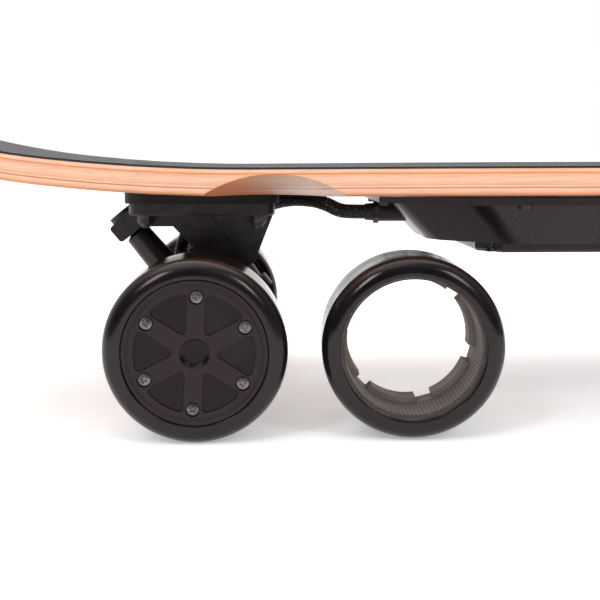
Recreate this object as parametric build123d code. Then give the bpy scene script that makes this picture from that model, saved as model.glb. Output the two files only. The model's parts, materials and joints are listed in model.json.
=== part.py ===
from build123d import *

import os
from math import asin, atan2, cos, degrees, pi, radians, sin, sqrt, tan

# Electric skateboard, rebuilt in millimetres. +X is forward, +Z up, and the floor is z = 0.
# The two hub motors are on the rear truck, at -X. The origin is the middle of the footprint.

# ---- driving dimensions ----------------------------------------------------------------
DECK_LENGTH = 960.0
DECK_WIDTH = 230.0
DECK_THICKNESS = 13.2
GRIP_THICKNESS = 1.0
GRIP_INSET = 1.5
DECK_ROUNDING = 1.5
SIDE_BOW = 26.0  # how far each side draws in from the middle to this far along
SIDE_BOW_AT = 400.0
TIP_BOW = 18.0
TIP_CORNER = 60.0
CONCAVE_FLAT = 75.0
CONCAVE_RADIUS = 400.0
KICK_START = 290.0
KICK_RADIUS = 975.0
KICK_RUN = 110.0
TIP_RADIUS = 412.0
WELL_CLEARANCE = 22.0  # between a wheel and the hollow cut for it in the deck
WELL_INBOARD = 37.8
WELL_DEPTH = 10.0
WELL_REACH = 42.0

TRUCK_X = 320.0
WHEEL_DIAMETER = 90.0
WHEEL_WIDTH = 52.0
TRACK_WIDTH = 250.0
SHOULDER = 8.0
FLOOR_GAP = 0.5

RISER_THICKNESS = 6.0
RISER_LENGTH = 87.0
RISER_WIDTH = 60.0
PLATE_LENGTH = 82.0
PLATE_WIDTH = 56.0
PLATE_THICKNESS = 6.7
BOLT_SPACING_X = 63.5
BOLT_SPACING_Y = 41.3
BOLT_RADIUS = 2.5
BOLT_HEAD_RADIUS = 4.8
NUT_HEIGHT = 5.5
NUT_FLATS = 8.0
FREE_HOLE = 0.2  # radial room of a bolt in its hole

AXLE_TO_DECK = 73.0
PIVOT = (-43.0, -18.2)  # from the point under the deck over the axle: inboard, up
STEM_TILT = 50.5
SEAT = (17.7, -48.9)
KINGPIN_TILT = 52.0
KINGPIN_RADIUS = 4.8
KINGPIN_ABOVE_SEAT = 47.0
KINGPIN_HEAD = 6.4
KINGPIN_HEAD_HEIGHT = 4.5
WASHER = 0.8
TOP_BUSHING = 9.0
RING_THICKNESS = 7.0
LOWER_BUSHING = 7.0
KINGPIN_NUT = 6.0
BUSHING_RADIUS = 13.0
LOWER_BUSHING_RADIUS = 10.0
RING_RADIUS = 15.0
PIVOT_BALL = 5.8
CUP_WALL = 1.7
CUP_DEPTH = 8.0
MOUTH = 6.0  # from the pivot to the open end of its housing
NECK_RADIUS = 4.6
STEM_STEPS = [(NECK_RADIUS, 6.4), (7.4, 7.8), (8.3, 28), (10.0, 50), (10.0, 62)]
BARREL_RADIUS = 11.0
HANGER_GAP = 2.5  # between the hanger's end and the wheel
NIPPLE_LENGTH = 11.0

CORE_WALL = 2.6
CORE_BORE = 34.0
LUG_HEIGHT = 2.6
LUG_LENGTH = 14.0
NOTCHES = 6
NOTCH_WIDTH = 8.6
NOTCH_RELIEF = 0.4  # how far a notch cuts past the bore
SPLINE_CLEARANCE = 0.2
CAN_WALL = 2.5
BACK_RIM = 1.7
BACK_PLATE = 4.6
END_PLATE = 6.0
SHAFT_GRIP = 22.0  # how deep the shaft sits in the hanger
MAGNETS = 14
MAGNET_THICKNESS = 2.3
AIR_GAP = 0.5
STATOR_TEETH = 12
STATOR_LENGTH = 22.0
MOTOR_SHAFT = 6.0
MOTOR_BEARING = 14.0
MOTOR_BEARING_WIDTH = 8.0
COVER_THICKNESS = 3.0
COVER_CLEARANCE = 0.2
COVER_SCREWS = 6
COVER_SCREW_INSET = 1.45  # from the motor can's bore in to the screws
COVER_TURN = 2.6
POCKET_RIM = 5.8
POCKET_DEPTH = 0.7
SPOKE_WIDTH = 8.5
DISH_RADIUS = 7.3
DISH_DEPTH = 2.0

FRONT_CORE_RADIUS = 31.0
FRONT_BEARING = 11.0
FRONT_BEARING_WIDTH = 7.0
FRONT_AXLE = 4.0
FRONT_SPOKES = 6
BEARING_OFFSET = 9.0

BOX_HALF_LENGTH = 222.0
BOX_HALF_WIDTH = 80.0
BOX_LEDGE = 8.5
BOX_NOSE_HALF = 38.0
BOX_NOSE_CUT = 43.0
BOX_FLANGE = 4.0
BOX_GASKET = 1.0
BOX_DEPTH = 26.0
BOX_NOSE_SLOPE = 20.5
BOX_SIDE_SLOPE = 5.5
BOX_WALL = 3.0
LID_END_MARGIN = 52.0
LID_SIDE_MARGIN = 20.0
LID_THICKNESS = 5.0
CELL_RADIUS = 9.2
CELL_LENGTH = 65.0
CELL_END_ROOM = 23.6
CELL_SIDE_ROOM = 13.0
BOARD_LENGTH = 78.0
BOARD_ROOM = 15.0
BOX_SCREW_RADIUS = 1.9
BOX_SCREW_GRIP = 8.0
LID_SCREW_RADIUS = 1.45

BUTTON_X = 70.0
SOCKET_X = 110.0
PORT_RADIUS = 8.0
BUTTON_RADIUS = 6.0
BUTTON_TRAVEL = 1.2
JACK_RADIUS = 1.65
CAP_HINGE_BACK = 11.6
CAP_HINGE_OUT = 2.6
CAP_PIN = 0.9
CABLE_RADIUS = 4.3

SPARE_GAP = 16.1  # between the rear wheel and the spare tyre
SPARE_FACE = 122.8
SPARE_YAW = -3.0
SPARE_TURN = 12.0

# ---- worked-out places -----------------------------------------------------------------
AXLE_Z = WHEEL_DIAMETER / 2
DECK_Z = AXLE_Z + AXLE_TO_DECK
PLATE_TOP = DECK_Z - RISER_THICKNESS
PLATE_LOW = PLATE_TOP - PLATE_THICKNESS
WHEEL_OUT = TRACK_WIDTH / 2
WHEEL_IN = WHEEL_OUT - WHEEL_WIDTH
HANGER_HALF = WHEEL_IN - HANGER_GAP
TYRE_BORE = CORE_BORE + CORE_WALL
LUG_BORE = CORE_BORE - LUG_HEIGHT
COVER_RADIUS = CORE_BORE + 1.3
LIP_RADIUS = COVER_RADIUS + COVER_CLEARANCE
CAN_RADIUS = LUG_BORE - SPLINE_CLEARANCE
CAN_BORE = CAN_RADIUS - CAN_WALL
COVER_SCREW_CIRCLE = CAN_BORE - COVER_SCREW_INSET
POCKET_RADIUS = COVER_RADIUS - POCKET_RIM
COVER_BACK = WHEEL_OUT - COVER_THICKNESS - 0.1
CORE_IN = WHEEL_IN + 1.0
STATOR_RADIUS = CAN_BORE - MAGNET_THICKNESS - AIR_GAP
STATOR_MID = WHEEL_IN + 21.5
FREE = (Align.CENTER, Align.CENTER, Align.MIN)


def inboard(x, z):
    """A point on the truck's middle plane, from its inboard distance and its height."""
    return Vector(x, 0, z)


def slant(angle):
    """Direction that runs inboard and down at this angle below level."""
    return Vector(cos(radians(angle)), 0, -sin(radians(angle)))


KINGPIN_AXIS = slant(KINGPIN_TILT)
STEM_AXIS = slant(STEM_TILT)
PIVOT_POINT = inboard(PIVOT[0], DECK_Z + PIVOT[1])
SEAT_POINT = inboard(SEAT[0], DECK_Z + SEAT[1])
RING_START = WASHER + TOP_BUSHING
RING_END = RING_START + RING_THICKNESS
RING_POINT = SEAT_POINT + KINGPIN_AXIS * (RING_START + RING_THICKNESS / 2)


def rod(start, axis, radius, length, top_radius=None):
    """Round bar, or a cone, from a start point along an axis."""
    place = Plane(origin=start, z_dir=axis)
    if top_radius is None:
        return place * Cylinder(radius, length, align=FREE)
    return place * Cone(radius, top_radius, length, align=FREE)


def turned(*profile):
    """Ring turned about the wheel axis from (radius, y) points."""
    return revolve(make_face(Polyline(*profile, close=True)), Axis.Y)


def tube(outer, inner, low, high):
    """Plain ring on the wheel axis between two y values."""
    if inner == 0:
        return turned((0, low), (outer, low), (outer, high), (0, high))
    return turned((inner, low), (outer, low), (outer, high), (inner, high))


def around(shape, count, first=0.0):
    """Copies of a shape spaced evenly about the wheel axis."""
    return [shape.rotate(Axis.Y, first + i * 360 / count) for i in range(count)]


def group(pieces):
    """One node that holds several separate solids."""
    return Compound([solid for piece in pieces for solid in piece.solids()])


def slab(points, half_width):
    """Plate cut to an outline of (inboard, height) points, centred on the middle plane."""
    face = Plane.XZ * make_face(Polyline(*points, close=True))
    return extrude(face, amount=half_width, both=True)


def block(x0, x1, y0, y1, z0, z1):
    """Box between two corners."""
    return Pos((x0 + x1) / 2, (y0 + y1) / 2, (z0 + z1) / 2) * Box(x1 - x0, y1 - y0, z1 - z0)


def nut(start, axis, flats, height, bore):
    """Hexagon nut whose seat is at the start point."""
    face = RegularPolygon(flats / 2, 6, major_radius=False) - Circle(bore)
    return Plane(origin=start, z_dir=axis) * extrude(face, amount=height)


def rear(shape):
    return Pos(-TRUCK_X, 0, 0) * shape


def front(shape):
    return mirror(rear(shape), about=Plane.YZ)


def both_trucks(shape):
    return [rear(shape), front(shape)]


def on_axle(shape, end, side):
    """Puts a wheel piece, made on the +Y side about the world's Y axis, on its axle."""
    piece = shape if side == "left" else mirror(shape, about=Plane.XZ)
    return Pos(end * TRUCK_X, 0, AXLE_Z) * piece


# ---- deck ------------------------------------------------------------------------------
def deck_outline(inset):
    """Plan shape: two long bowed sides, two bowed tips and four round corners."""
    half_width = DECK_WIDTH / 2 - inset
    half_length = DECK_LENGTH / 2 - inset
    bow_radius = (SIDE_BOW_AT**2 + SIDE_BOW**2) / (2 * SIDE_BOW)
    corner_x = half_length - TIP_BOW
    corner_y = half_width - bow_radius + sqrt(bow_radius**2 - corner_x**2)
    a, b = (-corner_x, corner_y), (corner_x, corner_y)
    c, d = (corner_x, -corner_y), (-corner_x, -corner_y)
    edges = [
        ThreePointArc(a, (0, half_width), b),
        ThreePointArc(b, (half_length, 0), c),
        ThreePointArc(c, (0, -half_width), d),
        ThreePointArc(d, (-half_length, 0), a),
    ]
    face = make_face(edges)
    return fillet(face.vertices(), TIP_CORNER - inset)


def deck_band(low, high):
    """Bent and dished sheet between two distances above the deck's underside."""
    reach = 8.0

    def lip(offset, angle, side):
        radius = CONCAVE_RADIUS - offset
        y = CONCAVE_FLAT + radius * sin(radians(angle))
        return (side * y, DECK_Z + CONCAVE_RADIUS - radius * cos(radians(angle)))

    def dished(offset, side):
        return ThreePointArc(*[lip(offset, reach * part, side) for part in (0, 0.5, 1)])

    section = Plane.YZ * make_face(
        [
            Line(lip(low, 0, -1), lip(low, 0, 1)),
            dished(low, 1),
            Line(lip(low, reach, 1), lip(high, reach, 1)),
            dished(high, 1),
            Line(lip(high, 0, 1), lip(high, 0, -1)),
            dished(high, -1),
            Line(lip(high, reach, -1), lip(low, reach, -1)),
            dished(low, -1),
        ]
    )
    bend = asin(KICK_RUN / KICK_RADIUS)
    slack = KICK_RADIUS - TIP_RADIUS
    turn = Axis((KICK_START, 0, DECK_Z + KICK_RADIUS), (0, -1, 0))
    tip_x = KICK_START + slack * sin(bend)
    tip_turn = Axis((tip_x, 0, DECK_Z + KICK_RADIUS - slack * cos(bend)), (0, -1, 0))
    tip_angle = degrees(asin((DECK_LENGTH / 2 + 12 - tip_x) / TIP_RADIUS) - bend)
    at_kick = Pos(KICK_START, 0, 0) * section
    flat = extrude(Pos(-KICK_START, 0, 0) * section, amount=2 * KICK_START, dir=(1, 0, 0))
    kick = revolve(at_kick, turn, degrees(bend))
    tip = revolve(at_kick.rotate(turn, degrees(bend)), tip_turn, tip_angle)
    return flat + kick + tip + mirror(kick, about=Plane.YZ) + mirror(tip, about=Plane.YZ)


WELL_RADIUS = WHEEL_DIAMETER / 2 + WELL_CLEARANCE
BOX_SCREW_Y = BOX_HALF_WIDTH - BOX_LEDGE / 2
BOX_SCREW_REACH = BOX_HALF_LENGTH - BOX_NOSE_CUT - 29.0
BOX_SCREW_XS = [BOX_SCREW_REACH * part for part in (-1, -0.5, 0, 0.5, 1)]


def bolt_places():
    """Where the truck bolts stand, as (x, y) from the truck's axle."""
    x, y = BOLT_SPACING_X / 2, BOLT_SPACING_Y / 2
    return [(i * x, j * y) for i in (-1, 1) for j in (-1, 1)]


def box_screw_places():
    sides = [(x, j * BOX_SCREW_Y) for x in BOX_SCREW_XS for j in (-1, 1)]
    ends = [(i * (BOX_HALF_LENGTH - BOX_LEDGE / 2), j * BOX_NOSE_HALF * 0.75) for i in (-1, 1) for j in (-1, 1)]
    return sides + ends


def rim_edges(deck):
    """The edges where the deck's upright rim meets its top and its underside."""
    rim = [face for face in deck.faces() if abs(face.normal_at(face.center()).Z) < 0.5]
    edges = [edge for face in rim for edge in face.edges()]
    return [edge for edge in edges if sum(edge.is_same(other) for other in edges) == 1]


def make_deck():
    outline = Pos(0, 0, DECK_Z - 20) * extrude(deck_outline(0), amount=120)
    deck = deck_band(0, DECK_THICKNESS) & outline
    deck = fillet(rim_edges(deck), DECK_ROUNDING)
    edge_y = DECK_WIDTH / 2 - SIDE_BOW * ((TRUCK_X - WELL_INBOARD) / SIDE_BOW_AT) ** 2
    rise = WELL_DEPTH / WELL_REACH
    for end in (-1, 1):
        for side in (-1, 1):
            low = Vector(end * (TRUCK_X - WELL_INBOARD), side * (edge_y - WELL_REACH), DECK_Z - WELL_RADIUS)
            along = Vector(0, side, rise)
            deck -= rod(low - along * 30, along, WELL_RADIUS, 130)
    for hole in truck_bolt_holes():
        deck -= hole
    for x, y in box_screw_places():
        deck -= rod((x, y, DECK_Z - 1), (0, 0, 1), BOX_SCREW_RADIUS + 0.1, BOX_SCREW_GRIP + 2)
    return deck


def truck_bolt_holes():
    """Through holes with a countersink that reaches the grip's top."""
    top = DECK_Z + DECK_THICKNESS + GRIP_THICKNESS
    holes = []
    for x, y in bolt_places():
        radius = BOLT_RADIUS + FREE_HOLE
        shaft = rod((x, y, PLATE_LOW - 1), (0, 0, 1), radius, top - PLATE_LOW + 2)
        head = rod((x, y, top), (0, 0, -1), BOLT_HEAD_RADIUS + FREE_HOLE, 4.0, BOLT_RADIUS + FREE_HOLE)
        holes += both_trucks(shaft + head + rod((x, y, top), (0, 0, 1), BOLT_HEAD_RADIUS + FREE_HOLE, 20))
    return holes


def make_grip():
    outline = Pos(0, 0, DECK_Z - 20) * extrude(deck_outline(GRIP_INSET), amount=120)
    grip = deck_band(DECK_THICKNESS, DECK_THICKNESS + GRIP_THICKNESS) & outline
    for hole in truck_bolt_holes():
        grip -= hole
    return grip


def truck_bolt(x, y):
    """Countersunk bolt with a cross recess in its head."""
    top = DECK_Z + DECK_THICKNESS + GRIP_THICKNESS
    length = top - PLATE_LOW + NUT_HEIGHT + 1.5
    bolt = rod((x, y, top), (0, 0, -1), BOLT_RADIUS, length)
    bolt += rod((x, y, top), (0, 0, -1), BOLT_HEAD_RADIUS, 3.6, BOLT_RADIUS)
    for wide, deep in ((4.6, 1.1), (1.1, 4.6)):
        bolt -= Pos(x, y, top) * Box(wide, deep, 3.6)
    return bolt


def truck_nut(x, y):
    """Lock nut: a hexagon with a domed collar over its nylon ring."""
    seat = (x, y, PLATE_LOW)
    hexagon = nut(seat, (0, 0, -1), NUT_FLATS, NUT_HEIGHT - 1.2, BOLT_RADIUS + 0.05)
    collar = rod((x, y, PLATE_LOW - NUT_HEIGHT + 1.2), (0, 0, -1), NUT_FLATS / 2 - 0.2, 1.2, NUT_FLATS / 2 - 1)
    return hexagon + collar - rod((x, y, PLATE_LOW + 1), (0, 0, -1), BOLT_RADIUS + 0.05, NUT_HEIGHT + 2)


def make_riser():
    pad = extrude(RectangleRounded(RISER_LENGTH, RISER_WIDTH, 14), amount=RISER_THICKNESS)
    return Pos(0, 0, PLATE_TOP) * pad


# ---- trucks ----------------------------------------------------------------------------
CUP_RADIUS = PIVOT_BALL + 0.1 + CUP_WALL
HOUSING_HALF = CUP_RADIUS + 2.1
ACROSS_STEM = Vector(sin(radians(STEM_TILT)), 0, cos(radians(STEM_TILT)))
ACROSS_PIN = Vector(sin(radians(KINGPIN_TILT)), 0, cos(radians(KINGPIN_TILT)))
WEB_LOW = DECK_Z - 19.6


def flat_points(*points):
    return [(p.X, p.Z) if isinstance(p, Vector) else p for p in points]


def make_baseplate():
    """One casting: the bolted plate, the kingpin boss and the pivot housing."""
    plate = Pos(0, 0, PLATE_LOW) * extrude(RectangleRounded(PLATE_LENGTH, PLATE_WIDTH, 9), amount=PLATE_THICKNESS)
    plate = chamfer(plate.faces().sort_by(Axis.Z)[0].edges(), 0.8)
    mouth = PIVOT_POINT + STEM_AXIS * MOUTH
    housing = slab(
        flat_points(
            (-PLATE_LENGTH / 2 + 3, PLATE_TOP),
            PIVOT_POINT - ACROSS_STEM * HOUSING_HALF + STEM_AXIS * -4.4,
            mouth - ACROSS_STEM * HOUSING_HALF,
            mouth + ACROSS_STEM * (HOUSING_HALF - 1.5),
            (-30, WEB_LOW),
            (-12, WEB_LOW),
            (-12, PLATE_TOP),
        ),
        HOUSING_HALF + 0.8,
    )
    housing = fillet(housing.edges().filter_by(Axis.Y).sort_by(Axis.X)[:3], 2.0)
    boss = slab(
        flat_points(
            (-16, PLATE_LOW + 1),
            (-16.5, WEB_LOW),
            (-12, WEB_LOW - 4.8),
            SEAT_POINT - KINGPIN_AXIS * 22 - ACROSS_PIN * 7.2,
            SEAT_POINT - KINGPIN_AXIS * 6 - ACROSS_PIN * 13.6,
            SEAT_POINT - ACROSS_PIN * 14.2,
            SEAT_POINT + ACROSS_PIN * 16,
            SEAT_POINT + ACROSS_PIN * 16 + Vector(1.2, 0, 4.5),
            (PLATE_LENGTH / 2 - 0.5, PLATE_LOW + 1),
        ),
        15.0,
    )
    boss = fillet(boss.edges().filter_by(Axis.Y).group_by(Axis.Z)[0], 1.5)
    casting = plate + housing + boss
    for side in (-1, 1):
        groove = slab([(5.0, PLATE_LOW - 1), (7.2, PLATE_LOW - 1), (17.0, WEB_LOW - 8), (14.8, WEB_LOW - 8)], 1.1)
        casting -= Pos(0, side * 15.0, 0) * groove
    casting -= rod(PIVOT_POINT - STEM_AXIS * (CUP_DEPTH + 0.05), STEM_AXIS, CUP_RADIUS + 0.05, CUP_DEPTH + MOUTH + 5)
    casting -= rod(SEAT_POINT - KINGPIN_AXIS * 60, KINGPIN_AXIS, KINGPIN_RADIUS + 0.05, 80)
    head_seat = SEAT_POINT - KINGPIN_AXIS * (KINGPIN_ABOVE_SEAT - KINGPIN_HEAD_HEIGHT)
    casting -= rod(head_seat, KINGPIN_AXIS * -1, KINGPIN_HEAD + 0.3, 20)
    for x, y in bolt_places():
        casting -= rod((x, y, PLATE_LOW - 12), (0, 0, 1), BOLT_RADIUS + FREE_HOLE, 30)
        casting -= rod((x, y, PLATE_LOW), (0, 0, -1), NUT_FLATS / 2 + 1.4, 12)
    return casting


def make_pivot_cup():
    cup = rod(PIVOT_POINT - STEM_AXIS * CUP_DEPTH, STEM_AXIS, CUP_RADIUS, CUP_DEPTH + MOUTH)
    cup -= Pos(PIVOT_POINT) * Sphere(PIVOT_BALL + 0.1)
    return cup - rod(PIVOT_POINT, STEM_AXIS, PIVOT_BALL + 0.4, MOUTH + 1)


def make_kingpin():
    start = SEAT_POINT - KINGPIN_AXIS * KINGPIN_ABOVE_SEAT
    end = KINGPIN_ABOVE_SEAT + RING_END + LOWER_BUSHING + WASHER + KINGPIN_NUT + 0.8
    return rod(start, KINGPIN_AXIS, KINGPIN_RADIUS, end) + rod(start, KINGPIN_AXIS, KINGPIN_HEAD, KINGPIN_HEAD_HEIGHT)


def make_kingpin_nut():
    seat = SEAT_POINT + KINGPIN_AXIS * (RING_END + LOWER_BUSHING + WASHER)
    return nut(seat, KINGPIN_AXIS, 14.3, KINGPIN_NUT, KINGPIN_RADIUS + 0.02)


def pin_ring(start, outer, height, top=None, bore=KINGPIN_RADIUS + 0.05):
    """Ring on the kingpin, from a distance below the boss's seat."""
    place = SEAT_POINT + KINGPIN_AXIS * start
    return rod(place, KINGPIN_AXIS, outer, height, top) - rod(place - KINGPIN_AXIS, KINGPIN_AXIS, bore, height + 2)


def make_washers():
    upper = pin_ring(0, BUSHING_RADIUS + 0.6, WASHER)
    lower = pin_ring(RING_END + LOWER_BUSHING, LOWER_BUSHING_RADIUS - 0.8, WASHER)
    return [upper, lower]


def make_bushings():
    upper = pin_ring(WASHER, BUSHING_RADIUS, TOP_BUSHING, BUSHING_RADIUS - 0.8)
    lower = pin_ring(RING_END, LOWER_BUSHING_RADIUS, LOWER_BUSHING, LOWER_BUSHING_RADIUS - 1.6)
    return [upper, lower]


NIPPLE_FOOT = Vector(-15.5, 3.0, AXLE_Z + 21)
NIPPLE_AXIS = Vector(0.1, 0.45, 0.85).normalized()


def pivot_stem():
    """Ball, neck and tapered stem, turned in one piece about the stem's axis."""
    ball_end = sqrt(PIVOT_BALL**2 - NECK_RADIUS**2)
    length = STEM_STEPS[-1][1]
    ball = ThreePointArc((0, -PIVOT_BALL), (PIVOT_BALL, 0), (NECK_RADIUS, ball_end))
    sides = Polyline((NECK_RADIUS, ball_end), *STEM_STEPS, (0, length), (0, -PIVOT_BALL))
    stem = revolve(Plane.XZ * make_face([ball, sides]), Axis.Z)
    return Plane(origin=PIVOT_POINT, z_dir=STEM_AXIS) * stem


def make_hanger(shaft_radius, shaft_depth, with_nipple):
    """Axle housing with the pivot stem, the bushing ring and an arm to each wheel."""
    hanger = pivot_stem()
    end = HANGER_HALF
    hanger += Pos(0, 0, AXLE_Z) * turned(
        (0, -end), (12.5, -end), (12.5, 6 - end), (9.5, 12 - end), (BARREL_RADIUS, -24),
        (BARREL_RADIUS, 24), (9.5, end - 12), (12.5, end - 6), (12.5, end), (0, end),
    )
    hanger += rod(SEAT_POINT + KINGPIN_AXIS * RING_START, KINGPIN_AXIS, RING_RADIUS, RING_THICKNESS)
    ring_corner = RING_POINT - ACROSS_PIN * (RING_RADIUS - 1)
    hanger += slab(
        flat_points(
            (-10, AXLE_Z + 7),
            (-6, AXLE_Z + 10),
            (4, AXLE_Z + 10),
            ring_corner - KINGPIN_AXIS * (RING_THICKNESS / 2),
            ring_corner + KINGPIN_AXIS * (RING_THICKNESS / 2),
            (10, AXLE_Z - 8),
            (0, AXLE_Z - 10),
            (-9, AXLE_Z - 6),
        ),
        10.0,
    )
    if with_nipple:
        hanger += rod(NIPPLE_FOOT, NIPPLE_AXIS, 6.2, NIPPLE_LENGTH)
        hanger -= rod(NIPPLE_FOOT + NIPPLE_AXIS * 3, NIPPLE_AXIS, CABLE_RADIUS + 0.2, NIPPLE_LENGTH)
    hanger -= rod(RING_POINT - KINGPIN_AXIS * 8, KINGPIN_AXIS, KINGPIN_RADIUS + 1.7, 18)
    for side in (-1, 1):
        start = (0, side * (end + 1), AXLE_Z)
        hanger -= rod(start, (0, -side, 0), shaft_radius + 0.02, shaft_depth + 1)
    return hanger


# ---- hub motors ------------------------------------------------------------------------
SPLINE_RADIUS = CORE_BORE - 0.3
PLATE_SCREW_CIRCLE = CAN_RADIUS - 0.6


def tyre_profile(bore, lip, lip_start):
    """Poured tyre: a flat tread between two round shoulders, and a lip on the outer face."""
    radius = WHEEL_DIAMETER / 2
    r = SHOULDER
    low, high = WHEEL_IN, WHEEL_OUT
    edge = r * (1 - sqrt(0.5))
    edges = [
        Line((bore, low), (radius - r, low)),
        ThreePointArc((radius - r, low), (radius - edge, low + edge), (radius, low + r)),
        Line((radius, low + r), (radius, high - r)),
        ThreePointArc((radius, high - r), (radius - edge, high - edge), (radius - r, high)),
    ]
    if lip < bore:
        inner = [(radius - r, high), (lip, high), (lip, lip_start), (bore, lip_start), (bore, low)]
    else:
        inner = [(radius - r, high), (bore, high), (bore, low)]
    edges += [Line(a, b) for a, b in zip(inner, inner[1:])]
    return revolve(make_face(edges), Axis.Y)


def motor_tyre():
    return tyre_profile(TYRE_BORE, LIP_RADIUS, COVER_BACK)


def core_notches():
    depth = CORE_BORE + NOTCH_RELIEF - LUG_BORE
    notch = Pos(LUG_BORE + depth / 2, CORE_IN + LUG_LENGTH / 2 - 1, 0) * Box(depth + 4, LUG_LENGTH + 2, NOTCH_WIDTH)
    return around(notch, NOTCHES, COVER_TURN)


def motor_core():
    """Nylon ring inside the tyre: a plain bore with a toothed collar at its inner end."""
    lugs = CORE_IN + LUG_LENGTH
    core = turned(
        (TYRE_BORE, CORE_IN), (TYRE_BORE, COVER_BACK), (CORE_BORE, COVER_BACK),
        (CORE_BORE, lugs), (LUG_BORE, lugs), (LUG_BORE, CORE_IN),
    )
    outside = tube(TYRE_BORE + 5, CORE_BORE + NOTCH_RELIEF, WHEEL_IN - 5, WHEEL_OUT)
    for notch in core_notches():
        core -= notch - outside
    return core


def splines(low, high):
    """Ribs that fill the core's notches and carry the drive."""
    height = SPLINE_RADIUS - CAN_BORE
    middle = CAN_BORE + height / 2
    width = NOTCH_WIDTH - 2 * SPLINE_CLEARANCE
    rib = Pos(middle, (low + high) / 2, 0) * Box(height, high - low, width)
    limit = tube(SPLINE_RADIUS, CAN_BORE + 0.2, low, high)
    return [rib & limit for rib in around(rib, NOTCHES, COVER_TURN)]


def motor_can():
    low = CORE_IN + 0.05 + BACK_PLATE
    face = COVER_BACK
    can = turned(
        (CAN_RADIUS, low), (CAN_RADIUS, face), (8.0, face), (8.0, face - 2), (MOTOR_BEARING, face - 2),
        (MOTOR_BEARING, face - 2 - MOTOR_BEARING_WIDTH), (MOTOR_BEARING + 2.5, face - 2 - MOTOR_BEARING_WIDTH),
        (MOTOR_BEARING + 2.5, face - END_PLATE), (CAN_BORE, face - END_PLATE), (CAN_BORE, low),
    )
    for rib in splines(low, face):
        can += rib
    for hole in cover_screw_rods(1.25, 6.5, face - 5.5):
        can -= hole
    for hole in plate_screw_rods(1.05, low - 1, low + 6):
        can -= hole
    return can


def cover_screw_rods(radius, length, low):
    rod_at = Pos(COVER_SCREW_CIRCLE, low, 0) * Rot(-90, 0, 0) * Cylinder(radius, length, align=FREE)
    return around(rod_at, COVER_SCREWS, 90 + COVER_TURN)


def plate_screw_rods(radius, low, high):
    rod_at = Pos(PLATE_SCREW_CIRCLE, low, 0) * Rot(-90, 0, 0) * Cylinder(radius, high - low, align=FREE)
    return around(rod_at, NOTCHES, COVER_TURN)


def motor_back():
    """Inner end plate, with the rim that the tyre's core stops against."""
    low = CORE_IN - 0.05 - BACK_RIM
    step = CORE_IN - 0.05
    top = CORE_IN + BACK_PLATE
    pocket = low + 1.5
    back = turned(
        (8.0, low), (CORE_BORE + 1.5, low), (CORE_BORE + 1.5, step), (CAN_RADIUS, step), (CAN_RADIUS, top),
        (MOTOR_BEARING + 2, top), (MOTOR_BEARING + 2, pocket + MOTOR_BEARING_WIDTH),
        (MOTOR_BEARING, pocket + MOTOR_BEARING_WIDTH), (MOTOR_BEARING, pocket), (8.0, pocket),
    )
    for rib in splines(step, top):
        back += rib
    for hole in plate_screw_rods(1.35, low - 1, top + 1):
        back -= hole
    for hole in plate_screw_rods(2.4, low - 1, low + 1.6):
        back -= hole
    return back


def plate_screws():
    low = CORE_IN - 0.05 - BACK_RIM
    screws = []
    heads = plate_screw_rods(2.2, low, low + 1.6)
    for head, shank in zip(heads, plate_screw_rods(1.0, low + 1, low + 10.5)):
        screws.append(head + shank)
    return screws


def motor_bearings():
    """Two sealed bearings, one in each end of the motor."""
    low = CORE_IN - 0.05 - BACK_RIM + 1.5
    high = COVER_BACK - 2 - MOTOR_BEARING_WIDTH
    ring = tube(MOTOR_BEARING - 0.02, MOTOR_SHAFT + 0.02, 0, MOTOR_BEARING_WIDTH)
    for face in (0, MOTOR_BEARING_WIDTH - 0.4):
        ring -= tube(MOTOR_BEARING - 2.2, MOTOR_SHAFT + 2.2, face, face + 0.4)
    return [Pos(0, low, 0) * ring, Pos(0, high, 0) * ring]


def motor_magnets():
    outer = CAN_BORE - 0.02
    low = STATOR_MID - STATOR_LENGTH / 2 - 1
    ring = tube(outer, outer - MAGNET_THICKNESS, low, low + STATOR_LENGTH + 2)
    width = 2 * pi * (outer - MAGNET_THICKNESS) / MAGNETS - 1.0
    bar = Pos(outer - 1.5, low + STATOR_LENGTH / 2, 0) * Box(8, STATOR_LENGTH + 8, width)
    return [ring & piece for piece in around(bar, MAGNETS)]


def motor_stator():
    """Laminated core: a hub ring and teeth with wide shoes."""
    low, high = STATOR_MID - STATOR_LENGTH / 2, STATOR_MID + STATOR_LENGTH / 2
    stator = tube(15.0, 10.02, low, high)
    tooth_end = STATOR_RADIUS - 1.5
    tooth = block(14.0, tooth_end, low, high, -1.8, 1.8)
    for piece in around(tooth, STATOR_TEETH):
        stator += piece
    shoes = tube(STATOR_RADIUS, STATOR_RADIUS - 2.0, low, high)
    slot = Pos(STATOR_RADIUS, STATOR_MID, 0) * Box(8, STATOR_LENGTH + 2, 2.0)
    for piece in around(slot, STATOR_TEETH, 180 / STATOR_TEETH):
        shoes -= piece
    return stator + shoes


def motor_windings():
    """One copper coil round each stator tooth."""
    span = STATOR_LENGTH + 6.4
    coil_end = STATOR_RADIUS - 3.4
    coil = block(16.1, coil_end, STATOR_MID - span / 2, STATOR_MID + span / 2, -3.7, 3.7)
    coil = fillet(coil.edges().filter_by(Axis.X), 2.4)
    slot = STATOR_LENGTH / 2 + 0.1
    coil -= block(15.0, coil_end + 1, STATOR_MID - slot, STATOR_MID + slot, -1.9, 1.9)
    return around(coil, STATOR_TEETH)


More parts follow.
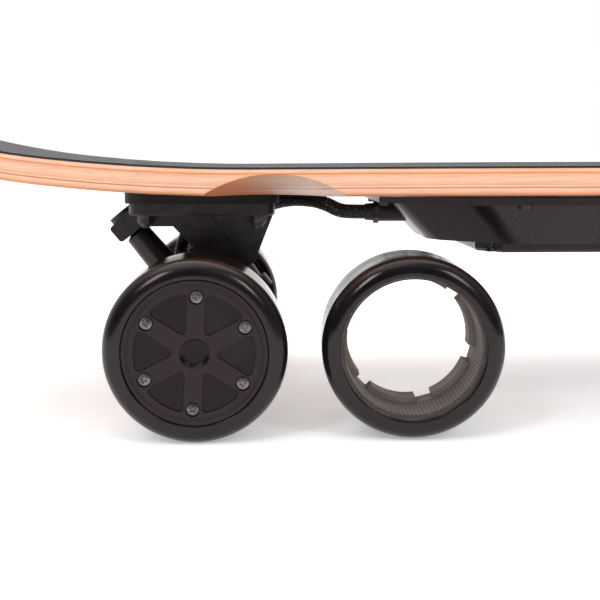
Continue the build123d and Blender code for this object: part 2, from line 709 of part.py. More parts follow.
def motor_axle():
    """Fixed shaft: clamped in the hanger, with a wide seat for the stator."""
    start = HANGER_HALF - SHAFT_GRIP
    low, high = STATOR_MID - STATOR_LENGTH / 2, STATOR_MID + STATOR_LENGTH / 2
    end = COVER_BACK - 2.3
    shaft = turned(
        (0, start), (MOTOR_SHAFT, start), (MOTOR_SHAFT, low - 1), (10.0, low - 1), (10.0, high + 1),
        (MOTOR_SHAFT, high + 1), (MOTOR_SHAFT, end - 1), (MOTOR_SHAFT - 1, end), (0, end),
    )
    return shaft


def cover_plate():
    """Flat cap with wedge pockets, screw seats and a dished middle."""
    low, high = COVER_BACK, WHEEL_OUT - 0.1
    plate = turned(
        (0, low), (COVER_RADIUS, low), (COVER_RADIUS, high - 0.6), (COVER_RADIUS - 0.6, high),
        (DISH_RADIUS, high), (DISH_RADIUS - 2.0, high - DISH_DEPTH), (0, high - DISH_DEPTH),
    )
    spokes = [Pos(POCKET_RADIUS / 2, 0) * Rectangle(POCKET_RADIUS + 4, SPOKE_WIDTH)]
    wedge = make_face(
        [
            Line((0, 0), (POCKET_RADIUS * cos(pi / 6), POCKET_RADIUS / 2)),
            ThreePointArc(
                (POCKET_RADIUS * cos(pi / 6), POCKET_RADIUS / 2),
                (POCKET_RADIUS, 0),
                (POCKET_RADIUS * cos(pi / 6), -POCKET_RADIUS / 2),
            ),
            Line((POCKET_RADIUS * cos(pi / 6), -POCKET_RADIUS / 2), (0, 0)),
        ]
    )
    for angle in (30, -30):
        wedge -= Rot(0, 0, angle) * spokes[0]
    wedge = fillet(wedge.vertices(), 2.4)
    cut = Plane(origin=(0, high - POCKET_DEPTH, 0), x_dir=(1, 0, 0), z_dir=(0, 1, 0)) * extrude(wedge, amount=2)
    for pocket in around(cut, COVER_SCREWS, 90 + COVER_TURN + 30):
        plate -= pocket
    for hole in cover_screw_rods(1.6, 8, low - 2) + cover_screw_rods(3.6, 4, high - 1.6):
        plate -= hole
    return plate


def cover_screws():
    """Pan-head screws with a cross recess."""
    seat = WHEEL_OUT - 0.1 - 1.6
    shank = Pos(0, seat - 6.2, 0) * Rot(-90, 0, 0) * Cylinder(1.2, 6.2, align=FREE)
    head = Pos(0, seat, 0) * Rot(-90, 0, 0) * Cylinder(3.15, 1.5, align=FREE)
    head = fillet(head.edges().sort_by(Axis.Y)[-1], 0.7)
    for wide, tall in ((3.4, 0.7), (0.7, 3.4)):
        head -= Pos(0, seat + 1.5, 0) * Box(wide, 1.6, tall)
    screw = Pos(COVER_SCREW_CIRCLE, 0, 0) * (shank + head)
    return around(screw, COVER_SCREWS, 90 + COVER_TURN)


# ---- front wheels ----------------------------------------------------------------------
def front_tyre():
    return tyre_profile(FRONT_CORE_RADIUS, FRONT_CORE_RADIUS, 0)


FRONT_MID = WHEEL_OUT - WHEEL_WIDTH / 2


def front_hub():
    """Nylon core with spokes between its rim and the bearing barrel."""
    low, high = WHEEL_IN + 3, WHEEL_OUT - 3
    hub = tube(FRONT_CORE_RADIUS, FRONT_CORE_RADIUS - 3, low, high)
    hub += tube(FRONT_BEARING + 3, 6.5, FRONT_MID - 17, FRONT_MID + 17)
    spoke = Pos(20.5, FRONT_MID, 0) * Box(18, 30, 4)
    for piece in around(spoke, FRONT_SPOKES):
        hub += piece
    for side in (-1, 1):
        inner = FRONT_MID + side * BEARING_OFFSET
        low, high = sorted((inner, FRONT_MID + side * 18))
        hub -= tube(FRONT_BEARING + 0.02, 0, low, high)
    return hub


def front_bearings():
    ring = tube(FRONT_BEARING, FRONT_AXLE + 0.02, 0, FRONT_BEARING_WIDTH)
    for face in (0, FRONT_BEARING_WIDTH - 0.4):
        ring -= tube(FRONT_BEARING - 1.6, FRONT_AXLE + 1.8, face, face + 0.4)
    outer = Pos(0, FRONT_MID + BEARING_OFFSET, 0) * ring
    return [outer, Pos(0, FRONT_MID - BEARING_OFFSET - FRONT_BEARING_WIDTH, 0) * ring]


def front_axle():
    half = FRONT_MID + BEARING_OFFSET + FRONT_BEARING_WIDTH + 9.5
    return tube(FRONT_AXLE, 0, -half, half)


def front_axle_nuts():
    seat = FRONT_MID + BEARING_OFFSET + FRONT_BEARING_WIDTH + 1.1
    return [nut((0, side * seat, 0), (0, side, 0), 13.0, 7.0, FRONT_AXLE + 0.02) for side in (-1, 1)]


def front_spacers():
    """Speed washers outside each wheel, and the long spacers beside the hanger."""
    bearing = FRONT_MID - BEARING_OFFSET - FRONT_BEARING_WIDTH
    outer = FRONT_MID + BEARING_OFFSET + FRONT_BEARING_WIDTH
    rings = []
    for low, high in ((HANGER_HALF + 0.1, bearing - 0.1), (outer + 0.1, outer + 1.0)):
        for side in (-1, 1):
            a, b = sorted((side * low, side * high))
            rings.append(tube(5.6, FRONT_AXLE + 0.02, a, b))
    return rings


# ---- electronics box under the deck ----------------------------------------------------
BOX_TOP = DECK_Z - BOX_GASKET
BOX_BODY_TOP = BOX_TOP - BOX_FLANGE
BOX_FLOOR = DECK_Z - BOX_DEPTH
BODY_LENGTH = BOX_HALF_LENGTH - BOX_LEDGE
BODY_WIDTH = BOX_HALF_WIDTH - BOX_LEDGE
FLOOR_END = BODY_LENGTH - BOX_NOSE_SLOPE - BOX_WALL
FLOOR_SIDE = BODY_WIDTH - BOX_SIDE_SLOPE - BOX_WALL
LID_HALF_LENGTH = BOX_HALF_LENGTH - LID_END_MARGIN
LID_HALF_WIDTH = BOX_HALF_WIDTH - LID_SIDE_MARGIN


def nosed(half_length, half_width, nose_half, nose_cut):
    """Long outline with both ends cut back to a narrow nose."""
    quarter = [(half_length, nose_half), (half_length - nose_cut, half_width)]
    right = quarter + [(-x, y) for x, y in reversed(quarter)]
    return make_face(Polyline(*right, *[(-x, -y) for x, y in right], close=True))


def box_body(shrink):
    """Solid with sloping sides, smaller all round by the given wall."""
    slope = BODY_LENGTH - BOX_NOSE_SLOPE
    top = nosed(BODY_LENGTH - shrink, BODY_WIDTH - shrink, BOX_NOSE_HALF - 4 - shrink / 2, BOX_NOSE_CUT - 2)
    low = nosed(slope - shrink, BODY_WIDTH - BOX_SIDE_SLOPE - shrink, BOX_NOSE_HALF - 8 - shrink / 2, BOX_NOSE_CUT - 4)
    return loft([Pos(0, 0, BOX_FLOOR) * low, Pos(0, 0, BOX_BODY_TOP) * top], ruled=True)


SIDE_ANGLE = degrees(atan2(BOX_SIDE_SLOPE, BOX_BODY_TOP - BOX_FLOOR))
PORT_Z = (BOX_BODY_TOP + BOX_FLOOR) / 2
PORT_Y = -(BODY_WIDTH - BOX_SIDE_SLOPE / 2)


def port(x):
    """Frame on the box's right wall: local x is up the wall, y backward and z outward."""
    outward = Vector(0, -cos(radians(SIDE_ANGLE)), -sin(radians(SIDE_ANGLE)))
    up = Vector(0, -sin(radians(SIDE_ANGLE)), cos(radians(SIDE_ANGLE)))
    return Plane(origin=(x, PORT_Y, PORT_Z), x_dir=up, z_dir=outward)


GLAND_HOLE = CABLE_RADIUS + 1.2
GLAND_Z = DECK_Z - 12.0


def make_box():
    """Moulded tray that hangs from the deck and holds the battery and controller."""
    flange = nosed(BOX_HALF_LENGTH, BOX_HALF_WIDTH, BOX_NOSE_HALF, BOX_NOSE_CUT)
    box = Pos(0, 0, BOX_BODY_TOP) * extrude(flange, amount=BOX_FLANGE) + box_body(0)
    hollow = box_body(BOX_WALL) - block(-400, 400, -200, 200, BOX_FLOOR - 1, BOX_FLOOR + BOX_WALL)
    rim = nosed(
        BODY_LENGTH - BOX_WALL, BODY_WIDTH - BOX_WALL, BOX_NOSE_HALF - 4 - BOX_WALL / 2, BOX_NOSE_CUT - 2
    )
    box -= hollow + Pos(0, 0, BOX_BODY_TOP) * extrude(rim, amount=BOX_FLANGE + 1)
    window = (LID_HALF_LENGTH - 14, LID_HALF_WIDTH - 12)
    box -= block(-window[0], window[0], -window[1], window[1], BOX_FLOOR - 1, BOX_FLOOR + BOX_WALL + 1)
    for x, y in box_screw_places():
        box -= rod((x, y, BOX_BODY_TOP - 1), (0, 0, 1), BOX_SCREW_RADIUS + 0.2, BOX_FLANGE + 2)
    for x, y in lid_screw_places():
        box -= rod((x, y, BOX_FLOOR - 1), (0, 0, 1), LID_SCREW_RADIUS + 0.05, BOX_WALL + 2)
    for x in (BUTTON_X, SOCKET_X):
        box -= port(x) * Cylinder(PORT_RADIUS + 0.1, 12)
    box -= rod((-BOX_HALF_LENGTH - 5, 0, GLAND_Z), (1, 0, 0), GLAND_HOLE + 0.1, 30)
    for side in (-1, 1):
        lug = port(SOCKET_X) * Pos(side * 6.4, CAP_HINGE_BACK, 0.6) * Box(2.4, 3.6, 8.0)
        box += lug - box_body(BOX_WALL)
    box -= port(SOCKET_X) * Pos(0, CAP_HINGE_BACK, CAP_HINGE_OUT) * Rot(0, 90, 0) * Cylinder(CAP_PIN + 0.02, 30)
    return box


def lid_screw_places():
    x, y = LID_HALF_LENGTH - 7, LID_HALF_WIDTH - 6
    return [(i * x * part, j * y) for part in (1, 1 / 3) for i in (-1, 1) for j in (-1, 1)]


def make_lid():
    outline = nosed(LID_HALF_LENGTH, LID_HALF_WIDTH, LID_HALF_WIDTH - 14, 12)
    lid = Pos(0, 0, BOX_FLOOR - LID_THICKNESS) * extrude(outline, amount=LID_THICKNESS - 0.05)
    lid = chamfer(lid.faces().sort_by(Axis.Z)[0].edges(), 1.6)
    for x, y in lid_screw_places():
        lid -= rod((x, y, BOX_FLOOR + 1), (0, 0, -1), LID_SCREW_RADIUS + 0.2, LID_THICKNESS + 3)
        lid -= rod((x, y, BOX_FLOOR - LID_THICKNESS + 2), (0, 0, -1), 3.2, 5)
    return lid


def lid_screw(x, y):
    head = rod((x, y, BOX_FLOOR - LID_THICKNESS + 2), (0, 0, -1), 2.9, 1.7)
    head -= rod((x, y, BOX_FLOOR - LID_THICKNESS + 1.2), (0, 0, -1), 1.1, 5)
    return head + rod((x, y, BOX_FLOOR - LID_THICKNESS + 2), (0, 0, 1), LID_SCREW_RADIUS, LID_THICKNESS + 0.5)


def box_screw(x, y):
    head = rod((x, y, BOX_BODY_TOP), (0, 0, -1), 3.3, 2.2)
    head -= rod((x, y, BOX_BODY_TOP - 1.0), (0, 0, -1), 1.3, 4)
    length = BOX_FLANGE + BOX_GASKET + BOX_SCREW_GRIP
    return head + rod((x, y, BOX_BODY_TOP), (0, 0, 1), BOX_SCREW_RADIUS, length)


def make_gasket():
    outer = nosed(BOX_HALF_LENGTH - 1, BOX_HALF_WIDTH - 1, BOX_NOSE_HALF - 0.5, BOX_NOSE_CUT)
    inner = nosed(BODY_LENGTH - BOX_WALL, BODY_WIDTH - BOX_WALL, BOX_NOSE_HALF - 6, BOX_NOSE_CUT - 2)
    gasket = Pos(0, 0, BOX_TOP) * extrude(outer - inner, amount=BOX_GASKET)
    for x, y in box_screw_places():
        gasket -= rod((x, y, BOX_TOP - 1), (0, 0, 1), BOX_SCREW_RADIUS + 0.2, BOX_GASKET + 2)
    return gasket


CELL_PITCH = 2 * CELL_RADIUS + 0.8
CELL_STEP = CELL_LENGTH + 0.6
CELL_ROWS = int((2 * FLOOR_END - CELL_END_ROOM - BOARD_LENGTH - BOARD_ROOM) / CELL_STEP)
CELLS_ACROSS = int(2 * (FLOOR_SIDE - CELL_SIDE_ROOM) / CELL_PITCH)
CELL_START = FLOOR_END - CELL_END_ROOM - CELL_ROWS * CELL_STEP
CELL_Z = BOX_FLOOR + BOX_WALL + CELL_RADIUS + 1.2
PACK_HALF = CELLS_ACROSS * CELL_PITCH / 2


def battery_cell(i, j):
    """Round cell that lies along the board, with its raised terminal forward."""
    x, y = CELL_START + i * CELL_STEP, (j + 0.5) * CELL_PITCH - PACK_HALF
    body = rod((x, y, CELL_Z), (1, 0, 0), CELL_RADIUS, CELL_LENGTH - 1)
    return body + rod((x + CELL_LENGTH - 1, y, CELL_Z), (1, 0, 0), 3.2, 1)


def battery_cells():
    return [battery_cell(i, j) for i in range(CELL_ROWS) for j in range(CELLS_ACROSS)]


def cell_holders():
    """A grooved bar under the middle of each row of cells."""
    bars = []
    for i in range(CELL_ROWS):
        x = CELL_START + (i + 0.5) * CELL_STEP
        bar = block(x - 4, x + 4, -PACK_HALF - 8, PACK_HALF + 8, BOX_FLOOR + BOX_WALL + 0.1, CELL_Z - 2)
        for j in range(CELLS_ACROSS):
            y = (j + 0.5) * CELL_PITCH - PACK_HALF
            bar -= rod((x - 10, y, CELL_Z), (1, 0, 0), CELL_RADIUS + 0.15, 20)
        bars.append(bar)
    return bars


BOARD_START = 8.0 - FLOOR_END
BOARD_END = BOARD_START + BOARD_LENGTH


def make_controller():
    """Motor controller board with its capacitors, power switches and plug strip."""
    low = BOX_FLOOR + BOX_WALL + 7.0
    top = low + 1.55
    board = block(BOARD_START, BOARD_END, -34, 34, low, low + 1.6)
    for x in (8, 20, 32):
        for y in (-24, 24):
            board += rod((BOARD_START + x, y, top), (0, 0, 1), 5.0, 8.6)
    for i in range(6):
        start = BOARD_START + 26 + i * 7
        board += block(start, start + 5, -6, 4, top, low + 4.2)
    return board + block(BOARD_END - 9, BOARD_END - 2, -22, 22, top, low + 7.5)


def make_heatsink():
    """Finned plate between the controller board and the floor of the box."""
    low = BOX_FLOOR + BOX_WALL + 0.1
    start, end = BOARD_START + 4, BOARD_END - 2
    sink = block(start, end, -32, 32, low, low + 3)
    for i in range(8):
        y = -28 + i * 8
        sink += block(start, end, y - 1, y + 1, low + 2.9, low + 6.8)
    return sink


# ---- motor cable -----------------------------------------------------------------------
def cable_route():
    """Points of the sleeve's middle line, in truck coordinates, from motors to box."""
    nose = TRUCK_X - BOX_HALF_LENGTH
    return [
        Vector(-13.6, 13.4, DECK_Z - 35.0),
        Vector(-11.0, 24.0, DECK_Z - 25.0),
        Vector(6.0, 33.0, DECK_Z - 17.5),
        Vector(30.0, 36.0, DECK_Z - 14.5),
        Vector(52.0, 26.0, DECK_Z - 9.0),
        Vector(70.0, 9.0, DECK_Z - 7.6),
        Vector(nose - 12, 0.0, GLAND_Z),
        Vector(nose + 16, 0.0, GLAND_Z),
    ]


def make_cable():
    points = cable_route()
    radii = []
    for before, here, after in zip(points, points[1:], points[2:]):
        a, b = here - before, after - here
        turn = radians(a.get_angle(b))
        radii.append(0.45 * min(a.length, b.length) / tan(turn / 2))
    print("cable bends, mm:", [round(r, 1) for r in radii])
    path = FilletPolyline(*points, radius=radii)
    start = Plane(origin=points[0], z_dir=points[1] - points[0])
    return sweep(start * Circle(CABLE_RADIUS), path=path)


def make_gland():
    """Cable gland in the nose of the box: a threaded body, a nut and a tapered seal."""
    face = TRUCK_X - BOX_HALF_LENGTH + 4.0
    gland = nut((face - 3, 0, GLAND_Z), (1, 0, 0), 11.4, 3.0, CABLE_RADIUS + 0.1)
    gland += rod((face - 2.9, 0, GLAND_Z), (-1, 0, 0), 5.2, 5.0, CABLE_RADIUS + 0.5)
    gland += rod((face - 0.1, 0, GLAND_Z), (1, 0, 0), GLAND_HOLE, 16)
    return gland - rod((face - 20, 0, GLAND_Z), (1, 0, 0), CABLE_RADIUS + 0.1, 60)


# ---- switches and charging -------------------------------------------------------------
def make_bezel():
    outer = Cylinder(PORT_RADIUS, 5.0, align=(Align.CENTER, Align.CENTER, Align.MAX))
    outer += Cylinder(9.6, 1.4, align=FREE)
    return port(BUTTON_X) * (outer - Cylinder(BUTTON_RADIUS + 0.15, 30))


def make_button():
    body = Pos(0, 0, -4) * Cylinder(BUTTON_RADIUS, 6.8, align=FREE)
    body = fillet(body.edges().sort_by(Axis.Z)[-1], 0.8)
    return port(BUTTON_X) * body


def make_socket():
    body = Cylinder(PORT_RADIUS, 9.0, align=(Align.CENTER, Align.CENTER, Align.MAX))
    body += Cylinder(9.0, 1.2, align=FREE)
    return port(SOCKET_X) * (body - Pos(0, 0, -6) * Cylinder(JACK_RADIUS, 10, align=FREE))


def make_cap():
    """Rubber flap over the charging socket, with a hinge barrel along its top."""
    out = CAP_HINGE_OUT
    flap = Pos(0, 0, 1.5) * Cylinder(9.2, 2.2, align=FREE)
    flap += Pos(0, 9.0, out) * Box(9.4, 4.4, 2.0)
    flap += Pos(0, CAP_HINGE_BACK, out) * Rot(0, 90, 0) * Cylinder(1.7, 9.8)
    flap += Pos(0, -9.4, 2.9) * Box(5, 2.4, 1.4)
    return port(SOCKET_X) * (flap - Pos(0, CAP_HINGE_BACK, out) * Rot(0, 90, 0) * Cylinder(CAP_PIN + 0.05, 40))


def make_cap_pin():
    return port(SOCKET_X) * Pos(0, CAP_HINGE_BACK, CAP_HINGE_OUT) * Rot(0, 90, 0) * Cylinder(CAP_PIN, 15.2)


# ---- assembly --------------------------------------------------------------------------
def spare(shape):
    """Stands a tyre piece, made on the +Y side, beside the rear right wheel."""
    facing_out = mirror(shape, about=Plane.XZ)
    centred = Pos(0, WHEEL_OUT, 0) * facing_out
    turned_piece = centred.rotate(Axis.Y, SPARE_TURN).rotate(Axis.Z, SPARE_YAW)
    return Pos(WHEEL_DIAMETER + SPARE_GAP - TRUCK_X, -SPARE_FACE, AXLE_Z + FLOOR_GAP) * turned_piece


def save(name, shape):
    export_step(shape, f"parts/{name}.step")


def build():
    os.makedirs("parts", exist_ok=True)
    save("deck", make_deck())
    save("grip_tape", make_grip())
    riser = make_riser()
    baseplate = make_baseplate()
    for x, y in bolt_places():
        riser -= rod((x, y, PLATE_TOP - 1), (0, 0, 1), BOLT_RADIUS + FREE_HOLE, RISER_THICKNESS + 2)
    save("riser_pads", group(both_trucks(riser)))
    save("rear_baseplate", rear(baseplate))
    save("front_baseplate", front(baseplate))
    save("pivot_cups", group(both_trucks(make_pivot_cup())))
    save("kingpins", group(both_trucks(make_kingpin())))
    save("kingpin_nuts", group(both_trucks(make_kingpin_nut())))
    save("bushing_washers", group([p for washer in make_washers() for p in both_trucks(washer)]))
    save("rear_bushings", group([rear(bushing) for bushing in make_bushings()]))
    save("front_bushings", group([front(bushing) for bushing in make_bushings()]))
    save("truck_bolts", group([p for x, y in bolt_places() for p in both_trucks(truck_bolt(x, y))]))
    save("truck_nuts", group([p for x, y in bolt_places() for p in both_trucks(truck_nut(x, y))]))

    save("rear_hanger", rear(make_hanger(MOTOR_SHAFT, SHAFT_GRIP, True)))
    save("front_hanger", front(make_hanger(FRONT_AXLE, HANGER_HALF, False)))
    save("motor_axles", group([on_axle(motor_axle(), -1, side) for side in ("left", "right")]))
    save("motor_stators", group([on_axle(motor_stator(), -1, side) for side in ("left", "right")]))
    save("stator_windings", group([on_axle(c, -1, side) for side in ("left", "right") for c in motor_windings()]))
    save("front_axle", on_axle(front_axle(), 1, "left"))
    save("axle_nuts", group([on_axle(piece, 1, "left") for piece in front_axle_nuts()]))
    save("axle_spacers", group([on_axle(piece, 1, "left") for piece in front_spacers()]))

    for side in ("left", "right"):
        save(f"rear_{side}_tyre", on_axle(motor_tyre(), -1, side))
        save(f"rear_{side}_core", on_axle(motor_core(), -1, side))
        save(f"{side}_motor_can", on_axle(motor_can(), -1, side))
        save(f"{side}_motor_magnets", group([on_axle(m, -1, side) for m in motor_magnets()]))
        save(f"{side}_motor_bearings", group([on_axle(m, -1, side) for m in motor_bearings()]))
        save(f"{side}_motor_back", on_axle(motor_back(), -1, side))
        save(f"{side}_cover_plate", on_axle(cover_plate(), -1, side))
        screws = cover_screws() + plate_screws()
        save(f"{side}_motor_screws", group([on_axle(m, -1, side) for m in screws]))
        save(f"front_{side}_tyre", on_axle(front_tyre(), 1, side))
        save(f"front_{side}_hub", on_axle(front_hub(), 1, side))
        save(f"front_{side}_bearings", group([on_axle(m, 1, side) for m in front_bearings()]))
    save("spare_tyre", spare(motor_tyre()))
    save("spare_core", spare(motor_core()))

    save("battery_box", make_box())
    save("box_lid", make_lid())
    save("box_gasket", make_gasket())
    deck_screws = [box_screw(x, y) for x, y in box_screw_places()]
    save("box_screws", group(deck_screws + [lid_screw(x, y) for x, y in lid_screw_places()]))
    save("battery_cells", group(battery_cells()))
    save("cell_holder", group(cell_holders()))
    save("controller_board", make_controller())
    save("controller_heatsink", make_heatsink())
    save("cable_sleeve", rear(make_cable()))
    save("cable_gland", rear(make_gland()))
    save("button_bezel", make_bezel())
    save("power_button", make_button())
    save("charge_socket", make_socket())
    save("charge_cap", make_cap())
    save("cap_pin", make_cap_pin())


build()
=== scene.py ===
import json
from math import asin, atan2, cos, degrees, pi, radians, sin, sqrt

import bmesh
import bpy
from mathutils import Euler, Matrix, Vector


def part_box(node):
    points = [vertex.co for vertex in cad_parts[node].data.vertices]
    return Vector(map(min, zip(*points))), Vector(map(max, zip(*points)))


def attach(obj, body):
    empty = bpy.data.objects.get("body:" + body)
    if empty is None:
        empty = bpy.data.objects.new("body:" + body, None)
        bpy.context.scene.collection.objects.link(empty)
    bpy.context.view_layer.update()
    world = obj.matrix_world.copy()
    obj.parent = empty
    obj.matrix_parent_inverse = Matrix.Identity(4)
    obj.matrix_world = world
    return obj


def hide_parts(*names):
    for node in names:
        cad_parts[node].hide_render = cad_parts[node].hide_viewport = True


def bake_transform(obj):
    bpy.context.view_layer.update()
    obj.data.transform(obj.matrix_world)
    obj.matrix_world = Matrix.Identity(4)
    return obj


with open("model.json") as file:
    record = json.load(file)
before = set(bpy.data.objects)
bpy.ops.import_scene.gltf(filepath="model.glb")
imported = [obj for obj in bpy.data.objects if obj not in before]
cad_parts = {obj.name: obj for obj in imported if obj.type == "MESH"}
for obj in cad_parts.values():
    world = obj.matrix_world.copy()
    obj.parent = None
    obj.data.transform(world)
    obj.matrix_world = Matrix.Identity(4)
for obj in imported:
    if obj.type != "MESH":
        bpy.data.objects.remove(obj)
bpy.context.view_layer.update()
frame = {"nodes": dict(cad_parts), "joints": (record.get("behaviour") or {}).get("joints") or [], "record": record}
nodes = frame["nodes"]


# ---- node wiring -----------------------------------------------------
class Wire:
    """A socket of a node tree. Arithmetic on it adds Math nodes."""

    def __init__(self, tree, socket=None):
        self.tree = tree
        self.socket = socket

    def make(self, kind, settings=None, inputs=None, output=0):
        """Adds any node: its settings first, then the values or wires of its sockets."""
        node = self.tree.nodes.new(kind)
        for name, value in (settings or {}).items():
            if name == "stops":
                self.set_stops(node.color_ramp, value)
            else:
                setattr(node, name, value)
        for key, value in (inputs or {}).items():
            if isinstance(value, Wire):
                self.tree.links.new(value.socket, node.inputs[key])
            else:
                node.inputs[key].default_value = value
        return Wire(self.tree, node.outputs[output])

    @staticmethod
    def set_stops(ramp, stops):
        while len(ramp.elements) < len(stops):
            ramp.elements.new(1.0)
        for element, (position, colour) in zip(ramp.elements, stops):
            element.position = position
            element.color = (*colour, 1.0)

    def also(self, output):
        """Another output of the same node."""
        return Wire(self.tree, self.socket.node.outputs[output])

    def math(self, operation, *values):
        return self.make("ShaderNodeMath", {"operation": operation}, dict(enumerate(values)))

    def vector(self, operation, inputs):
        return self.make("ShaderNodeVectorMath", {"operation": operation}, inputs)

    def triple(self, x, y, z):
        return self.make("ShaderNodeCombineXYZ", None, {0: x, 1: y, 2: z})

    def __add__(self, other):
        return self.math("ADD", self, other)

    def __sub__(self, other):
        return self.math("SUBTRACT", self, other)

    def __rsub__(self, other):
        return self.math("SUBTRACT", other, self)

    def __mul__(self, other):
        return self.math("MULTIPLY", self, other)

    def __truediv__(self, other):
        return self.math("DIVIDE", self, other)

    def __abs__(self):
        return self.math("ABSOLUTE", self)

    def drawn(self, line, profile):
        """Mesh of a profile drawn along a curve, with closed ends."""
        shape = {"Curve": line, "Profile Curve": profile, "Fill Caps": True}
        return self.make("GeometryNodeCurveToMesh", None, shape)

    def sin(self):
        return self.math("SINE", self)

    def cos(self):
        return self.math("COSINE", self)

    def sqrt(self):
        return self.math("SQRT", self)

    def above(self, limit):
        return self.math("GREATER_THAN", self, limit)

    def below(self, limit):
        return self.math("LESS_THAN", self, limit)

    def greater(self, other):
        return self.math("MAXIMUM", self, other)

    def ramp(self, stops):
        return self.make("ShaderNodeValToRGB", {"stops": stops}, {"Fac": self})

    def spread(self, low, high, to_low=0.0, to_high=1.0):
        """Maps one range of this value onto another, clamped and eased."""
        inputs = {"From Min": low, "From Max": high, "To Min": to_low, "To Max": to_high, "Value": self}
        return self.make("ShaderNodeMapRange", {"interpolation_type": "SMOOTHSTEP"}, inputs)

    def blend(self, a, b):
        """Colour a where this value is 0, colour b where it is 1."""
        first, second = (end if isinstance(end, Wire) else (*end, 1.0) for end in (a, b))
        return self.make("ShaderNodeMix", {"data_type": "RGBA"}, {0: self, 6: first, 7: second}, 2)


class Finish(Wire):
    """A material being made: its tree, its one shader and its object coordinates."""

    def __init__(self, name, **constants):
        self.material = bpy.data.materials.new(name)
        self.material.use_nodes = True
        super().__init__(self.material.node_tree)
        self.shader = self.tree.nodes["Principled BSDF"]
        for key, value in constants.items():
            self.shader.inputs[key.replace("_", " ")].default_value = value
        self.place = self.make("ShaderNodeTexCoord", output=3)
        split = self.place.make("ShaderNodeSeparateXYZ", None, {0: self.place})
        outputs = split.socket.node.outputs
        self.x, self.y, self.z = (Wire(self.tree, outputs[i]) for i in range(3))

    def noise(self, scale, detail=2.0, rough=0.5, stretch=None):
        """Noise whose scale, times any stretch, is in cells to the metre."""
        where = self.place
        if stretch:
            where = self.make("ShaderNodeMapping", None, {"Vector": self.place, "Scale": stretch})
        inputs = {"Vector": where, "Scale": scale, "Detail": detail, "Roughness": rough}
        return self.make("ShaderNodeTexNoise", None, inputs)

    def cells(self, scale, output=0):
        """Distance from the middle of the nearest cell, or with output 1 a colour for each cell."""
        return self.make("ShaderNodeTexVoronoi", None, {"Vector": self.place, "Scale": scale}, output)

    def feed(self, socket, wire):
        """Drives one of the shader's sockets."""
        self.tree.links.new(wire.socket, self.shader.inputs[socket])
        return self

    def bump(self, height, distance, strength=1.0, under=None):
        inputs = {"Height": height, "Distance": distance, "Strength": strength}
        if under:
            inputs["Normal"] = under
        return self.make("ShaderNodeBump", None, inputs)


def dress(material, *names):
    """Gives CAD nodes a material."""
    for name in names:
        mesh = nodes[name].data
        mesh.materials.clear()
        mesh.materials.append(material)


# ---- places read from the frame --------------------------------------
def joint_place(name):
    joint = next(j for j in frame["joints"] if j["name"] == name)
    return Vector(joint["pos_m"])


def joint_axis(name):
    joint = next(j for j in frame["joints"] if j["name"] == name)
    return Vector(joint["axis"]).normalized()


DECK_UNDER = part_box("riser_pads")[1].z
WHEEL_RADIUS = (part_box("rear_right_tyre")[1].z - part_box("rear_right_tyre")[0].z) / 2
WHEEL_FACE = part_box("rear_left_tyre")[1].y
WHEEL_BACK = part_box("rear_left_tyre")[0].y
COVER_RADIUS = (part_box("left_cover_plate")[1].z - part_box("left_cover_plate")[0].z) / 2
COVER_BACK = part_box("left_cover_plate")[0].y
CORE_RADIUS = (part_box("rear_left_core")[1].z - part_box("rear_left_core")[0].z) / 2
FRONT_CORE = (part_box("front_left_hub")[1].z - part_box("front_left_hub")[0].z) / 2
REAR_AXLE = joint_place("rear_left_spin").x


# ---- sizes, in metres ------------------------------------------------
DECK_THICKNESS = 0.0132
DECK_DISH_FLAT = 0.075
DECK_DISH_RADIUS = 0.400
KICK_START = 0.290
KICK_RADIUS = 0.975
KICK_RUN = 0.110
TIP_RADIUS = 0.412
BOX_HALF_LENGTH = 0.222
CREASE = 35.0  # degrees between faces, past which the edge between them is sharp

SHOULDER = 0.008  # the tyre's round outer edges
BEAD = 0.0006  # the small rounding where the tyre meets its core
PARTING_LINE = 0.00045  # half the width of the mould's mark round the tread
LIP = COVER_RADIUS + 0.0002
LIP_ROUNDING = 0.0007

POCKETS = 6
POCKET_REACH = 0.0293
POCKET_DEPTH = 0.0010
POCKET_ROUNDING = 0.0021
HALF_SPOKE = 0.0043
COVER_TURN = radians(2.6)
SCREW_CIRCLE = 0.02725
SCREW_SEAT = 0.0036
SCREW_SEAT_DEPTH = 0.0016
DISH_RADIUS = 0.0078
PLATE_SCREW_CIRCLE = 0.0306

CORE_BORE = 0.034
LUG_LENGTH = 0.014
LUG_BORE = 0.0314
NOTCH_WIDTH = 0.0086
NOTCHES = 6
GROOVE_INSET = 0.0035
GROOVE_WIDTH = 0.0026
GROOVE_DEPTH = 0.0007
GROOVE_RIBS = 84
KNURLS = 106
KNURL_PITCH = 0.002
KNURL_HEIGHT = 0.00032
KNURL_START = 0.0085
KNURL_END = 0.0345
SPARE_SPIN = radians(12.0)


# ---- finishes --------------------------------------------------------
def urethane():
    """Deep black poured tyre: clear gloss over faint flow marks and dust."""
    tint = (1.0, 0.82, 0.85, 1.0)
    f = Finish("black_urethane", Coat_Roughness=0.09, IOR=1.36, Coat_IOR=1.3, Specular_Tint=tint)
    flow = f.noise(38.0, 3.0)
    dust = f.noise(900.0, 2.0)
    f.feed("Base Color", flow.spread(0.3, 0.7).blend((0.0042, 0.0036, 0.0040), (0.0085, 0.0072, 0.0074)))
    f.feed("Roughness", flow.spread(0.3, 0.7, 0.14, 0.24) + dust.spread(0.62, 0.8, 0.0, 0.12))
    f.feed("Coat Weight", flow.spread(0.3, 0.7, 0.35, 0.2))
    skin = f.bump(f.noise(60.0, 2.0), 0.0003, 0.35)
    return f.feed("Normal", f.bump(dust, 0.00004, 0.25, skin)).material


